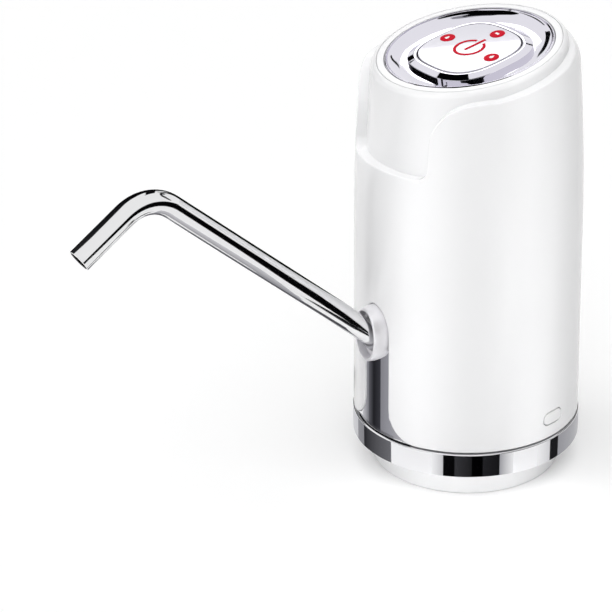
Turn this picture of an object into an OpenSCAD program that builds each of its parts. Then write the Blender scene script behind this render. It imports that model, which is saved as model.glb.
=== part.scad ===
// Electric water jug pump with a swivelling steel spout, a sloped push-button top
// and a collar that sits over the crown of a large water bottle.
// Origin: centre of the collar's foot. +Z is up and the spout points along -Y.

/* [Collar and ring] */
// Diameter of the bottle crown that the collar goes over
crown_d = 55; // [48:0.5:57]
// Radial clearance between the crown and the collar
crown_clearance = 0.4; // [0.2:0.05:0.8]
// Wall of the collar around the crown
collar_wall = 5.3; // [4:0.1:6.5]
// Height of the collar that shows under the ring
collar_h = 10.3; // [8:0.1:16]
// Outer diameter of the chrome base ring
ring_d = 80; // [78:0.5:92]
// Height of the chrome base ring
ring_h = 8.9; // [8.2:0.1:14]
// Thickness of the neck seal
neck_seal_t = 2; // [1.5:0.1:3]
// Thickness of the base plate
plate_t = 3; // [2.5:0.1:5]

/* [Casing] */
// Height from the casing's foot to the middle of the sloped top
body_h = 132.3; // [128:0.5:160]
// How far the casing's foot stands back from the ring
ring_reveal = 0.3; // [0.1:0.05:0.8]
// Dark gap between the ring and the casing
shadow_gap = 0.8; // [0.4:0.1:1.5]
// Wall of the casing
casing_wall = 2.4; // [1.8:0.1:3]
// Radius that the straight lower wall loses
body_taper = 0.5; // [0:0.1:1]
// Height of the straight lower wall
straight_h = 70; // [60:1:80]
// Radius of the curve that draws the upper wall in
crown_curve = 800; // [600:10:1500]
// Radius of the casing's rounded shoulder
shoulder_r = 9.5; // [7:0.5:12]
// Step from the casing's face in to the cap's face
cap_step = 3.6; // [3:0.1:4.5]
// Half width of the notch at the front of the casing
notch_half = 20; // [16:0.5:22]
// Depth of the notch below the middle of the top
notch_depth = 34.3; // [30:0.5:40]
// Corner radius at the foot of the notch
notch_corner = 4; // [2:0.5:6]

/* [Sloped top] */
// Slope of the top towards the spout
top_tilt = 11; // [6:0.5:14]
// Height of the cap above the casing's edge
cap_rise = 3.9; // [3:0.1:5]
// Wall of the cap
cap_wall = 2; // [1.6:0.1:2.4]
// Width of the white ring around the dish
top_ring_w = 2.6; // [2:0.1:4]
// Depth of the chrome dish
dish_depth = 2.9; // [2:0.1:3.4]
// Width of the dish from its edge to the button's chrome frame
dish_w = 9.5; // [8:0.1:12]
// Width of the frame's sloped face
frame_w = 3.1; // [2:0.1:4]
// Travel of the button
button_travel = 0.6; // [0.3:0.1:0.8]
// Gap round the button panel
button_gap = 0.25; // [0.15:0.05:0.4]
// Radius of an indicator lens
lens_r = 2.3; // [1.6:0.1:2.8]
// Radius of the power symbol
symbol_r = 4.6; // [3.5:0.1:5.5]

/* [Spout] */
// Outer diameter of the spout tube
spout_d = 8; // [6:0.1:8.5]
// Wall of the spout tube
spout_wall = 0.6; // [0.4:0.1:1]
// Height of the spout's axis above the casing's foot
spout_up = 36.3; // [35:0.1:44]
// Rise of the spout's long leg
spout_rise = 41; // [37:0.5:43]
// Length of the long leg up to the corner of the two legs
spout_long = 113.8; // [80:1:150]
// Fall of the spout's short leg
spout_fall = 33; // [15:1:60]
// Length of the short leg from the corner to its mouth
spout_short = 30.7; // [20:0.5:60]
// Radius of the bend
spout_bend_r = 14; // [10:0.5:20]
// How deep the spout sits in its sleeve
spout_seat = 14; // [10:0.5:15]
// Half width of the spout's socket
socket_half_w = 6.6; // [6.3:0.1:7.5]
// Half height of the spout's socket
socket_half_h = 10.2; // [9.6:0.1:12]
// How far the socket stands out of the casing
socket_reach = 4.3; // [3.5:0.1:6]
// Half width of the chrome strip below the socket
trim_half = 6.9; // [6.7:0.1:8]
// Width that each side of the strip's foot spreads by
trim_flare_w = 11; // [6:0.5:13]
// Height over which the strip's foot spreads
trim_flare_h = 10.5; // [6:0.5:13]

/* [Charging port] */
// Angle of the port round the body from the spout
port_angle = 102; // [94:1:112]
// Height of the port's middle above the casing's foot
port_up = 7; // [6.5:0.1:9]
// Width of the port's flap
flap_w = 9.8; // [9:0.1:12]
// Height of the port's flap
flap_h = 4.9; // [4.4:0.1:6]
// Thickness of the flap
flap_t = 1.3; // [1:0.1:1.5]
// Gap round the flap
flap_gap = 0.3; // [0.2:0.05:0.4]

/* [Pump] */
// Teeth on each pump gear
gear_teeth = 12; // [10:2:14]
// Module of the pump gears
gear_module = 1.1; // [0.9:0.05:1.2]
// Width of the pump gears
gear_w = 7.8; // [6:0.1:9]
// Running gap round the gears
gear_gap = 0.1; // [0.05:0.01:0.2]
// Wall of the pump housing round the gears
pump_wall = 3.3; // [3:0.1:4]
// Height of the pump above the base plate
pump_lift = 8; // [7:0.1:9]
// Diameter of the inlet barb
barb_d = 8; // [7:0.1:9]
// Length of the inlet barb
barb_l = 12; // [9:0.5:13]

/* [Motor and battery] */
// Diameter of the motor
motor_d = 24.4; // [20:0.1:25]
// Length of the motor's can
motor_l = 30.8; // [25:0.1:38]
// Diameter of the motor's shaft
shaft_d = 2.3; // [2:0.1:3]
// Running clearance of a shaft or swivel
run_gap = 0.06; // [0.03:0.01:0.1]
// Diameter of the battery cell
cell_d = 18.4; // [14:0.1:19]
// Length of the battery cell
cell_l = 65; // [50:0.5:66]

/* [Hidden] */
$fn = 160;
// Gap between pieces that are fitted together
fit = 0.15;
// Gap that lets one piece clear another
clear = 0.3;
// Length added to a cut so that it leaves the face
over = 1;

// Radii and levels of the collar, ring and base plate
crown_r = crown_d / 2 + crown_clearance;
collar_r = crown_r + collar_wall;
ring_r = ring_d / 2;
ring_wall = 3.5;
ring_lip = 1.7;
flange_r = ring_r - ring_wall - fit;
flange_z = collar_h + ring_lip;
flange_t = 3.4;
plate_z = flange_z + flange_t;
plate_top = plate_z + plate_t;
ring_top = collar_h + ring_h;
seal_z = plate_z - neck_seal_t;
seal_seat = 0.8;
neck_seal_w = 7;

// Casing outline
base_r = ring_r - ring_reveal;
body_z = ring_top + shadow_gap;
top_z = body_z + body_h;
curve_z = body_z + straight_h;
taper_rate = body_taper / straight_h;
shoulder_drop = 3.8;
shoulder_z = top_z - shoulder_drop;
edge_z = top_z - cap_rise;
cap_overlap = 7;
cap_foot_z = top_z - notch_depth - cap_overlap;
cap_over = 12;
cap_top_z = top_z + cap_over;
ledge_t = 3.5;
top_y = -0.55;
function wall_r(z) = base_r - taper_rate * (z - body_z)
    - (z > curve_z ? pow(z - curve_z, 2) / (2 * crown_curve) : 0);
function cap_r(z) = wall_r(z) - cap_step;
wall_steps = 8;
wall_levels = concat([body_z], [for (i = [0 : wall_steps])
    curve_z + (shoulder_z - curve_z) * i / wall_steps]);
flare_reach = 0.9;
flare_x = wall_r(edge_z) - cap_step + flare_reach;
flare_y = sqrt(pow(wall_r(edge_z), 2) - pow(flare_x, 2));
shoulder_steps = 7;
shoulder_sweep = 70;
function shoulder_point(a) = [wall_r(shoulder_z) - shoulder_r * (1 - cos(a)),
    shoulder_z + shoulder_r * sin(a)];

// Sloped top, heights measured along its own normal from its plane
rim_edge = 1.4;
rim_round = 2.2;
rim_r = cap_r(top_z) - rim_edge;
ring_seat = 1.6;
dish_r = rim_r - top_ring_w;
dish_wall = 1.2;
frame_half = dish_r - dish_w;
dish_floor = dish_depth + dish_wall;
deck_t = 2.5;
deck_under = dish_floor + deck_t;
frame_top = 0.5;
frame_power = 2.8;
panel_top = 0.4;
panel_t = 2.2;
panel_half = frame_half - frame_w - button_gap;
stem_r = 4;
lens_t = 1;
lens_out = panel_half * 0.76;
symbol_t = 0.15;
symbol_w = 0.8;
board_t = 1.2;
board_inset_x = 6.7;
board_inset_y = 12.7;
board_w = 2 * (dish_r - board_inset_x);
board_d = 2 * (dish_r - board_inset_y);
switch_w = 6;
switch_h = 3.5;
plunger_r = 1.75;
plunger_h = 1.4;
plunger_seat = 0.6;
switch_recess = plunger_seat + button_travel + clear;
stem_gap = 0.05;
stem_reach = 1;
stem_end = deck_under + stem_reach;
board_top = stem_end + stem_gap + plunger_h + switch_h;
board_post_r = 2.6;
board_edge = 4;
board_post_x = board_w / 2 - board_edge;
board_post_y = board_d / 2 - board_edge;
board_screw_r = 0.9;
board_screw_l = 4;
board_head_t = 1;
led_w = 3.2;
led_d = 1.6;
led_h = 1.1;

// Spout, its sleeve and its socket, along the spout's axis
spout_r = spout_d / 2;
spout_z = body_z + spout_up;
face_r = wall_r(spout_z);
bend_turn = spout_rise + spout_fall;
bend_cut = spout_bend_r * tan(bend_turn / 2);
sleeve_wall = 0.8;
sleeve_r = spout_r + run_gap + sleeve_wall;
sleeve_bore_r = sleeve_r + run_gap;
sleeve_out = 1;
sleeve_floor = 0.8;
sleeve_end = spout_seat + sleeve_floor + fit;
socket_floor = 2.2;
socket_end = sleeve_end + socket_floor;
socket_tube_wall = 1.8;
socket_tube_r = sleeve_bore_r + socket_tube_wall;
socket_lift = 1.5;
socket_drop = 2.2;
socket_step = 1.1;
socket_rim = 1.3;
socket_recess = 3.2;
socket_flange = 1.7;
socket_back = 3;
socket_round = 0.8;
inner_r = face_r - casing_wall;
nipple_r = 3.5;
nipple_bore_r = 2.4;
nipple_l = 5;
hose_wall = 1.6;
hose_gap = 0.4;
trim_inset = 0.6;
trim_t = casing_wall - trim_inset - run_gap;
trim_foot = 0.4;
trim_top = spout_z + socket_lift - socket_half_h / 2;

// Charging port
port_z = body_z + port_up;
port_r = wall_r(port_z);
port_hole_w = 8.4;
port_hole_h = 3.4;
usb_w = 7.6;
usb_h = 2.6;
usb_d = 5.6;
usb_wall = 0.4;
usb_back = 0.8;
charge_w = 20;
charge_t = 1.2;
charge_z = port_z - usb_h / 2 - charge_t;
usb_setback = 0.9;
usb_mouth_r = port_r - casing_wall - usb_setback;
charge_front = sqrt(pow(port_r - casing_wall - 2 * clear, 2) - pow(charge_w / 2, 2));
charge_inner = 19.6;
charge_d = charge_front - charge_inner;
charge_post_r = 2;
charge_edge = 3;

// Gear pump, whose drive gear is on the motor's axis
pressure = 28;
gear_addendum = 0.9;
gear_dedendum = 1.2;
gear_backlash = 0.9;
pitch_r = gear_module * gear_teeth / 2;
tip_r = pitch_r + gear_addendum * gear_module;
root_r = pitch_r - gear_dedendum * gear_module;
gear_base_r = pitch_r * cos(pressure);
chamber_r = tip_r + gear_gap;
pump_r = chamber_r + pump_wall;
cover_t = 2.6;
gasket_t = 0.4;
pump_z = plate_top + pump_lift;
chamber_z = pump_z + cover_t + gasket_t;
chamber_h = gear_w + 2 * gear_gap;
roof_z = chamber_z + chamber_h;
roof_min = 4;
pump_y = -4.25;
inlet_inset = 1;
nipple_root = 2;
pump_reach = (face_r - (pump_r - pump_y)) / cos(spout_rise);
outlet_top = spout_z - pump_reach * sin(spout_rise) + nipple_r / cos(spout_rise);
roof_t = max(roof_min, outlet_top + clear - roof_z);
motor_z = roof_z + roof_t;
inlet_y = pump_y + chamber_r - inlet_inset;
port_slot = 3;
barb_r = barb_d / 2;
barb_wall = 1.4;
barb_bore_r = barb_r - barb_wall;
barb_ridge = 0.4;
barb_room = 3;
idler_pin_d = 3;
pin_in_cover = 1.5;
pin_in_roof = 2.9;
pin_end_gap = 0.1;
pump_screw_r = 1;
pump_head_r = 1.9;
pump_head_t = 1.3;
pump_screw_at = (chamber_r + pump_r) / 2;
pump_screw_x = pitch_r + pump_screw_at * cos(45);
pump_screw_y = pump_screw_at * sin(45);
post_r = 2.4;
post_edge = 0.5;
seal_r = 3.4;
seal_h = 2.6;

// Motor
motor_r = motor_d / 2;
can_wall = 0.8;
magnet_t = 2.2;
air_gap = 0.5;
magnet_from = 4;
magnet_to = 6;
armature_from = 5;
armature_to = 7;
pole_slot = 1.6;
press_gap = 0.02;
magnet_r = motor_r - can_wall - fit;
armature_r = magnet_r - magnet_t - air_gap;
bush_r = 3.2;
bush_l = 3;
endcap_t = 3;
shaft_r = shaft_d / 2;
shaft_stub = 1;
shaft_top = motor_z + motor_l + endcap_t + shaft_stub;
terminal_x = motor_r * 0.6;
terminal_w = 2;
terminal_t = 0.8;
terminal_h = 3;

// Battery and its cradle
cell_room = 3.55;
cradle_floor = 2;
cell_z = plate_top + cradle_floor;
cell_nub_h = 1;
cradle_mouth = 0.2;
cradle_wall = 1.6;
cradle_r = cell_d / 2 + fit + cradle_wall;
cell_y = ring_r - ring_wall - cell_room - cradle_r;
cradle_h = cell_l * 0.85;

// Screws that hold the base plate to the casing
boss_r = 3.4;
boss_inset = 4.95;
boss_at = flange_r - boss_inset;
boss_h = 13;
rib_t = 2;
foot_inset = 1.1;
screw_r = 1.4;
head_r = 2.7;
head_t = 1.8;
boss_angles = [50, 135, 225, 310];

// Wires
wire_r = 0.7;

// Colours
pearl = "whitesmoke";
chrome = "silver";
steel = "lightsteelblue";
red = "crimson";
rubber = "dimgray";

// Shared shapes

// Tube between two radii
module tube(r_out, r_in, h) {
    difference() {
        cylinder(r = r_out, h = h);
        translate([0, 0, -over]) cylinder(r = r_in, h = h + 2 * over);
    }
}

// Points of an ellipse
function ellipse(a, b, count = 48) =
    [for (i = [0 : count - 1]) [a * cos(360 * i / count), b * sin(360 * i / count)]];

// Points of a square with bowed sides and soft corners
function soft_power(v) = sign(v) * pow(abs(v), 2 / frame_power);
function soft_square(half, count = 72) =
    [for (i = [0 : count - 1]) let (a = 360 * i / count) half * [soft_power(cos(a)), soft_power(sin(a))]];

// Closed outline from the points of its right half, bottom to top
function both_sides(side) =
    concat(side, [for (i = [len(side) - 1 : -1 : 0]) [-side[i][0], side[i][1]]]);

// Slot with round ends, drawn flat
module slot(w, h) {
    square([w - h, h], center = true);
    for (side = [-1, 1]) translate([side * (w - h) / 2, 0]) circle(d = h);
}

// Prism along -Y of a shape drawn in X and Z, between two distances in front of the axis
module towards_front(near, far) {
    translate([0, -near, 0]) rotate([90, 0, 0]) linear_extrude(far - near) children();
}

// Frame of the sloped top: X to the right, Y up the slope, Z out of the top
module on_top() {
    translate([0, top_y, top_z]) rotate([top_tilt, 0, 0]) children();
}

// Frame of the spout: Z out along the long leg from the casing's face
module on_spout() {
    translate([0, -face_r, spout_z]) rotate([90 - spout_rise, 0, 0]) children();
}

// Frame of the charging port: the port faces -Y
module at_port() {
    rotate([0, 0, port_angle]) children();
}

// Solid of the casing's outside, drawn in by an inset
module casing_solid(inset = 0) {
    outline = concat(
        [[0, body_z], [wall_r(body_z) - inset, body_z]],
        [for (z = wall_levels) if (z > body_z) [wall_r(z) - inset, z]],
        [for (i = [1 : shoulder_steps])
            shoulder_point(shoulder_sweep * i / shoulder_steps) - [inset, 0]],
        [[0, shoulder_point(shoulder_sweep)[1]]]);
    rotate_extrude() polygon(outline);
}

// Solid under the curve of the cap's face, drawn in by an inset
module cap_solid(inset = 0, foot = cap_foot_z) {
    levels = [for (i = [0 : wall_steps]) foot + (cap_top_z - foot) * i / wall_steps];
    outline = concat([[0, foot]], [for (z = levels) [cap_r(z) - inset, z]], [[0, cap_top_z]]);
    rotate_extrude() polygon(outline);
}

// Everything above a level of the sloped top
module above_top(level) {
    on_top() translate([-ring_d, -ring_d, level]) cube([2 * ring_d, 2 * ring_d, ring_d]);
}

// Everything below a level of the sloped top
module below_top(level) {
    on_top() translate([-ring_d, -ring_d, level - 4 * ring_d])
        cube([2 * ring_d, 2 * ring_d, 4 * ring_d]);
}

// Outline of the notch in X and Z, with the flared upper corners
module notch_outline() {
    foot = top_z - notch_depth;
    flare_from = 12;
    flare_z = foot + flare_from;
    flare_w = flare_x - notch_half;
    flare_h = edge_z - flare_y * tan(top_tilt) - flare_z;
    polygon(both_sides(concat(
        [for (a = [-90 : 15 : 0])
            [notch_half - notch_corner, foot + notch_corner] + notch_corner * [cos(a), sin(a)]],
        [for (a = [0 : 10 : 90]) [flare_x - flare_w * cos(a), flare_z + flare_h * sin(a)]],
        [[flare_x, top_z + shoulder_r * 2]])));
}

// Outline of the chrome strip in X and Z, grown by a gap
module trim_outline(gap = 0) {
    foot = body_z + trim_foot + gap;
    polygon(both_sides(concat(
        [[trim_half + trim_flare_w + gap, ring_top + trim_foot - gap]],
        [for (a = [90 : -10 : 0]) [trim_half + gap + trim_flare_w * (1 - cos(a)),
            foot + trim_flare_h * (1 - sin(a))]],
        [[trim_half + gap, trim_top + gap]])));
}

// Outline of the spout's socket in X and Z, grown by a gap
module socket_outline(gap = 0) {
    translate([0, spout_z + socket_lift]) polygon(ellipse(socket_half_w + gap, socket_half_h + gap));
}

// Space of the socket's plug in the wall: an oval at the face and a lower one behind it
module socket_plug(near, gap = 0) {
    towards_front(near, face_r - socket_step / 2) socket_outline(gap);
    towards_front(near, face_r - socket_step + gap) translate([0, -socket_drop]) socket_outline(gap);
}

// Places of the casing's screw bosses
module at_bosses() {
    for (a = boss_angles) rotate([0, 0, a]) translate([0, -boss_at, 0]) children();
}

// Places of the pump's screws
module at_pump_screws() {
    for (x = [-1, 1], y = [-1, 1])
        translate([x * pump_screw_x, pump_y + y * pump_screw_y, 0]) children();
}

// Places of the control board's screws, on the sloped top
module at_board_posts() {
    for (x = [-1, 1], y = [-1, 1]) translate([x * board_post_x, y * board_post_y, 0]) children();
}

// Round-ended block that holds the two pump gears
module pump_block(r, h) {
    for (side = [-1, 1]) translate([side * pitch_r, pump_y, 0]) cylinder(r = r, h = h);
    translate([-pitch_r, pump_y - r, 0]) cube([2 * pitch_r, 2 * r, h]);
}

// Screw with its head at the foot and its shank pointing up
module screw(r, l, r_head, t_head) {
    translate([0, 0, -t_head]) cylinder(r = r_head, h = t_head);
    cylinder(r = r, h = l);
}

// Wire along a list of points
module wire(points) {
    for (i = [0 : len(points) - 2]) hull() {
        translate(points[i]) sphere(r = wire_r, $fn = 10);
        translate(points[i + 1]) sphere(r = wire_r, $fn = 10);
    }
}

// Involute gear outline
function involute(a) = tan(a) * 180 / PI - a;
function half_tooth(r) = 90 / gear_teeth - gear_backlash + involute(pressure)
    - involute(acos(min(1, gear_base_r / max(r, gear_base_r))));
flank_steps = 5;
function flank(side) = [for (i = [0 : flank_steps])
    let (r = gear_base_r + (tip_r - gear_base_r) * (side < 0 ? i : flank_steps - i) / flank_steps)
    [r, side * half_tooth(r)]];
function tooth() = concat([[root_r, -half_tooth(gear_base_r)]], flank(-1), flank(1),
    [[root_r, half_tooth(gear_base_r)]]);
function gear_outline() = [for (k = [0 : gear_teeth - 1]) for (p = tooth())
    p[0] * [cos(p[1] + 360 * k / gear_teeth), sin(p[1] + 360 * k / gear_teeth)]];
module gear(bore_r) {
    difference() {
        linear_extrude(gear_w) polygon(gear_outline());
        translate([0, 0, -over]) cylinder(r = bore_r, h = gear_w + 2 * over);
    }
}

// Collar, ring and base

module bottle_collar() color(pearl) {
    foot_round = 1;
    difference() {
        union() {
            translate([0, 0, foot_round]) cylinder(r = collar_r, h = flange_z - foot_round);
            cylinder(r1 = collar_r - foot_round, r2 = collar_r, h = foot_round);
            translate([0, 0, flange_z]) cylinder(r = flange_r, h = plate_z - flange_z);
        }
        translate([0, 0, -over]) cylinder(r = crown_r, h = plate_z + 2 * over);
        translate([0, 0, seal_z]) cylinder(r = crown_r + seal_seat, h = plate_z);
    }
}

module neck_seal() color(rubber)
    translate([0, 0, seal_z]) tube(crown_r + seal_seat - fit, crown_r - neck_seal_w, neck_seal_t);

module base_ring() color(chrome) {
    edge = 0.4;
    rotate_extrude() polygon([
        [collar_r + fit, collar_h], [ring_r - edge, collar_h], [ring_r, collar_h + edge],
        [ring_r, ring_top - edge], [ring_r - edge, ring_top], [ring_r - ring_wall, ring_top],
        [ring_r - ring_wall, flange_z], [collar_r + fit, flange_z]]);
}

module base_plate() color(pearl) {
    post_z = plate_top - plate_t / 3;
    difference() {
        translate([0, 0, plate_z]) cylinder(r = flange_r, h = plate_t);
        translate([0, inlet_y, plate_z - over]) cylinder(r = barb_r + barb_room, h = plate_t + 2 * over);
        at_bosses() translate([0, 0, plate_z - over]) cylinder(r = head_r + fit, h = head_t + over);
        at_bosses() translate([0, 0, plate_z]) cylinder(r = screw_r + fit, h = plate_t + over);
    }
    for (side = [-1, 1]) translate([side * (pitch_r + pump_screw_at), pump_y, post_z])
        cylinder(r = post_r, h = pump_z - post_z);
    translate([0, pump_y - pump_r + post_r + post_edge, post_z]) cylinder(r = post_r, h = pump_z - post_z);
    at_port() for (side = [-1, 1], depth = [charge_edge, charge_d - charge_edge])
        translate([side * (charge_w / 2 - charge_edge), -charge_front + depth, post_z])
            cylinder(r = charge_post_r, h = charge_z - post_z);
}

module base_screws() color(steel)
    at_bosses() translate([0, 0, plate_z + head_t]) screw(screw_r, boss_h - over, head_r, head_t);

// Casing

module outer_casing() color(pearl) {
    upper_wall = cap_step - fit;
    notch_back = 1.5;
    ledge_z = cap_foot_z - ledge_t;
    ledge_r = wall_r(ledge_z) - upper_wall - cap_wall;
    levels = [for (i = [0 : wall_steps]) cap_foot_z + (cap_top_z - cap_foot_z) * i / wall_steps];
    inside = concat(
        [[0, ring_top - over], [wall_r(body_z) - casing_wall, ring_top - over],
            [wall_r(curve_z) - casing_wall, curve_z], [wall_r(ledge_z) - casing_wall, ledge_z],
            [ledge_r, ledge_z], [ledge_r, cap_foot_z]],
        [for (z = levels) [wall_r(z) - upper_wall, z]],
        [[0, cap_top_z]]);
    difference() {
        union() {
            difference() {
                union() {
                    casing_solid();
                    translate([0, 0, ring_top]) cylinder(r = base_r - foot_inset, h = shadow_gap + over);
                }
                rotate_extrude() polygon(inside);
            }
            intersection() {
                translate([0, 0, plate_top]) at_bosses() {
                    cylinder(r = boss_r, h = boss_h);
                    translate([-rib_t / 2, boss_at - base_r, 0]) cube([rib_t, base_r - boss_at, boss_h]);
                }
                union() {
                    casing_solid(casing_wall / 2);
                    cylinder(r = flange_r, h = body_z);
                }
            }
        }
        above_top(-cap_rise);
        towards_front(flare_y - notch_back, 2 * ring_r) notch_outline();
        towards_front(ring_r / 2, 2 * ring_r) trim_outline(fit);
        towards_front(ring_r / 2, 2 * ring_r) socket_outline(fit);
        socket_plug(ring_r / 2, fit);
        at_port() towards_front(port_r - flap_t - fit, 2 * ring_r)
            translate([0, port_z]) slot(flap_w + 2 * flap_gap, flap_h + 2 * flap_gap);
        at_port() towards_front(ring_r / 2, 2 * ring_r) translate([0, port_z]) slot(port_hole_w, port_hole_h);
        at_bosses() translate([0, 0, plate_top - over]) cylinder(r = screw_r + run_gap, h = boss_h);
    }
}

module front_trim() color(chrome) {
    difference() {
        intersection() {
            difference() {
                union() {
                    casing_solid(trim_inset);
                    translate([0, 0, ring_top]) cylinder(r = base_r - trim_inset, h = shadow_gap + over);
                }
                translate([0, 0, ring_top - over]) casing_core(trim_inset + trim_t);
            }
            towards_front(ring_r / 2, 2 * ring_r) trim_outline();
        }
        towards_front(ring_r / 2, 2 * ring_r) socket_outline(fit);
        socket_plug(ring_r / 2, fit);
    }
}

// Core of the lower body, drawn in by an inset, up to the spout
module casing_core(inset) {
    h = spout_z + 2 * socket_half_h - ring_top;
    cylinder(r1 = base_r - inset, r2 = base_r - inset - taper_rate * h, h = h);
}

module charge_flap() color(pearl) {
    intersection() {
        casing_solid();
        at_port() towards_front(port_r - flap_t, 2 * ring_r) translate([0, port_z]) slot(flap_w, flap_h);
    }
}

// Sloped top

module top_cap() color(pearl) {
    round_steps = 5;
    round_from = 10;
    rim_outline = concat(
        [[0, -2 * ring_d], [ring_d, -2 * ring_d], [ring_d, -ring_r]],
        [for (i = [0 : round_steps]) let (a = round_from + (90 - round_from) * i / round_steps)
            [rim_r - run_gap + rim_round * cos(a), rim_round * (sin(a) - 1)]],
        [[0, 0]]);
    difference() {
        intersection() {
            cap_solid();
            on_top() rotate_extrude() polygon(rim_outline);
        }
        difference() {
            intersection() {
                cap_solid(cap_wall, cap_foot_z - over);
                below_top(-deck_under);
            }
            on_top() translate([0, 0, -board_top]) at_board_posts()
                cylinder(r = board_post_r, h = board_top);
        }
        on_top() {
            translate([0, 0, -ring_seat]) cylinder(r = rim_r, h = ring_seat + over);
            translate([0, 0, -dish_floor]) cylinder(r = dish_r + fit, h = dish_floor);
            translate([0, 0, -board_top]) cylinder(r = stem_r + run_gap, h = board_top);
            translate([0, 0, -board_top - over]) at_board_posts()
                cylinder(r = board_screw_r + run_gap, h = board_screw_l + 2 * over);
        }
    }
}

module top_ring() color(pearl)
    on_top() translate([0, 0, -ring_seat]) tube(rim_r - run_gap, dish_r + fit, ring_seat);

module chrome_dish() color(chrome) {
    lip = 0.5;
    floor_r = frame_half * 1.12;
    bowl_w = dish_r - lip - floor_r;
    bowl_steps = 10;
    // Hollow of the bowl: a smooth fall from the lip to the floor
    bowl = [for (i = [0 : bowl_steps]) let (a = 90 * i / bowl_steps)
        [dish_r - lip - bowl_w * (1 - cos(a)), -dish_depth * sin(a)]];
    on_top() difference() {
        rotate_extrude() polygon(concat([[0, -dish_floor], [dish_r, -dish_floor], [dish_r, 0]], bowl,
            [[0, -dish_depth]]));
        translate([0, 0, -dish_floor - over]) linear_extrude(dish_floor + 2 * over)
            polygon(soft_square(frame_half + fit));
    }
}

module button_frame() color(chrome) {
    slope_h = 1;
    slope_w = frame_w * 0.7;
    on_top() difference() {
        union() {
            translate([0, 0, -dish_floor]) linear_extrude(dish_floor - frame_top - slope_h)
                polygon(soft_square(frame_half));
            translate([0, 0, -frame_top - slope_h])
                linear_extrude(slope_h, scale = (frame_half - slope_w) / frame_half)
                    polygon(soft_square(frame_half));
        }
        translate([0, 0, -dish_floor - over]) linear_extrude(dish_floor + 2 * over)
            polygon(soft_square(panel_half + button_gap));
    }
}

module button_panel() color(pearl)
    on_top() difference() {
        union() {
            translate([0, 0, -panel_top - panel_t]) linear_extrude(panel_t) polygon(soft_square(panel_half));
            translate([0, 0, -stem_end]) cylinder(r = stem_r, h = stem_end - panel_top - panel_t + fit);
        }
        at_lenses() translate([0, 0, -panel_top - lens_t])
            cylinder(r = lens_r + run_gap, h = lens_t + over);
    }

// Places of the three indicator lenses: left, back and right
module at_lenses() {
    for (a = [180, 90, 0]) translate(lens_out * [cos(a), sin(a), 0]) children();
}

module power_symbol() color(red) {
    bar_from = -symbol_r * 0.35;
    bar_to = symbol_r * 1.25;
    on_top() translate([0, 0, -panel_top]) linear_extrude(symbol_t) {
        difference() {
            circle(r = symbol_r);
            circle(r = symbol_r - symbol_w);
            translate([-2 * symbol_w, 0]) square([4 * symbol_w, 2 * symbol_r]);
        }
        translate([-symbol_w / 2, bar_from]) square([symbol_w, bar_to - bar_from]);
    }
}

module indicator_lenses() color(red)
    on_top() at_lenses() translate([0, 0, -panel_top - lens_t])
        cylinder(r = lens_r, h = lens_t + symbol_t);

module control_board() color("darkgreen")
    on_top() difference() {
        translate([-board_w / 2, -board_d / 2, -board_top - board_t]) cube([board_w, board_d, board_t]);
        translate([0, 0, -board_top - board_t - over]) at_board_posts()
            cylinder(r = board_screw_r + fit, h = board_t + 2 * over);
    }

module board_screws() color(steel)
    on_top() translate([0, 0, -board_top - board_t]) at_board_posts()
        screw(board_screw_r, board_t + board_screw_l, board_screw_r * 2, board_head_t);

module switch_body() color(rubber)
    on_top() translate([0, 0, -board_top]) difference() {
        translate([-switch_w / 2, -switch_w / 2, 0]) cube([switch_w, switch_w, switch_h]);
        translate([0, 0, switch_h - switch_recess])
            cylinder(r = plunger_r + run_gap, h = switch_recess + over);
    }

module switch_plunger() color("gold")
    on_top() translate([0, 0, -stem_end - stem_gap - plunger_h - plunger_seat])
        cylinder(r = plunger_r, h = plunger_h + plunger_seat);

module indicator_leds() color("gold")
    on_top() at_lenses() translate([-led_w / 2, -led_d / 2, -board_top]) cube([led_w, led_d, led_h]);

// Spout

module spout_socket() color(chrome) {
    boss_back = inner_r - socket_back;
    front = face_r + socket_reach;
    waist = face_r + socket_reach * 0.6;
    slice = 0.1;
    difference() {
        union() {
            hull() {
                towards_front(face_r - socket_step, face_r - socket_step + slice) socket_outline();
                towards_front(waist, waist + slice) socket_outline(-socket_round / 5);
                towards_front(front - slice, front) socket_outline(-socket_round);
            }
            socket_plug(boss_back);
            intersection() {
                union() {
                    on_spout() translate([0, 0, -socket_end]) cylinder(r = socket_tube_r, h = socket_end);
                    towards_front(boss_back, face_r) socket_outline(socket_flange);
                }
                cylinder(r = inner_r - clear, h = top_z);
            }
            on_spout() translate([0, 0, -socket_end - nipple_l])
                cylinder(r = nipple_r, h = nipple_l + over);
        }
        hull() {
            towards_front(front - socket_recess, front - socket_recess + slice)
                socket_outline(-socket_rim - socket_round / 2);
            towards_front(front + slice, front + 2 * slice) socket_outline(-socket_rim);
        }
        on_spout() {
            translate([0, 0, -sleeve_end - clear]) cylinder(r = sleeve_bore_r, h = 4 * sleeve_end);
            translate([0, 0, -socket_end - nipple_l - over])
                cylinder(r = nipple_bore_r, h = socket_end + nipple_l);
        }
    }
}

module spout_sleeve() color(rubber)
    on_spout() translate([0, 0, -sleeve_end]) difference() {
        cylinder(r = sleeve_r, h = sleeve_end + sleeve_out);
        translate([0, 0, sleeve_floor]) cylinder(r = spout_r + run_gap, h = sleeve_end + sleeve_out);
        translate([0, 0, -over]) cylinder(r = nipple_bore_r, h = 2 * over);
    }

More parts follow.
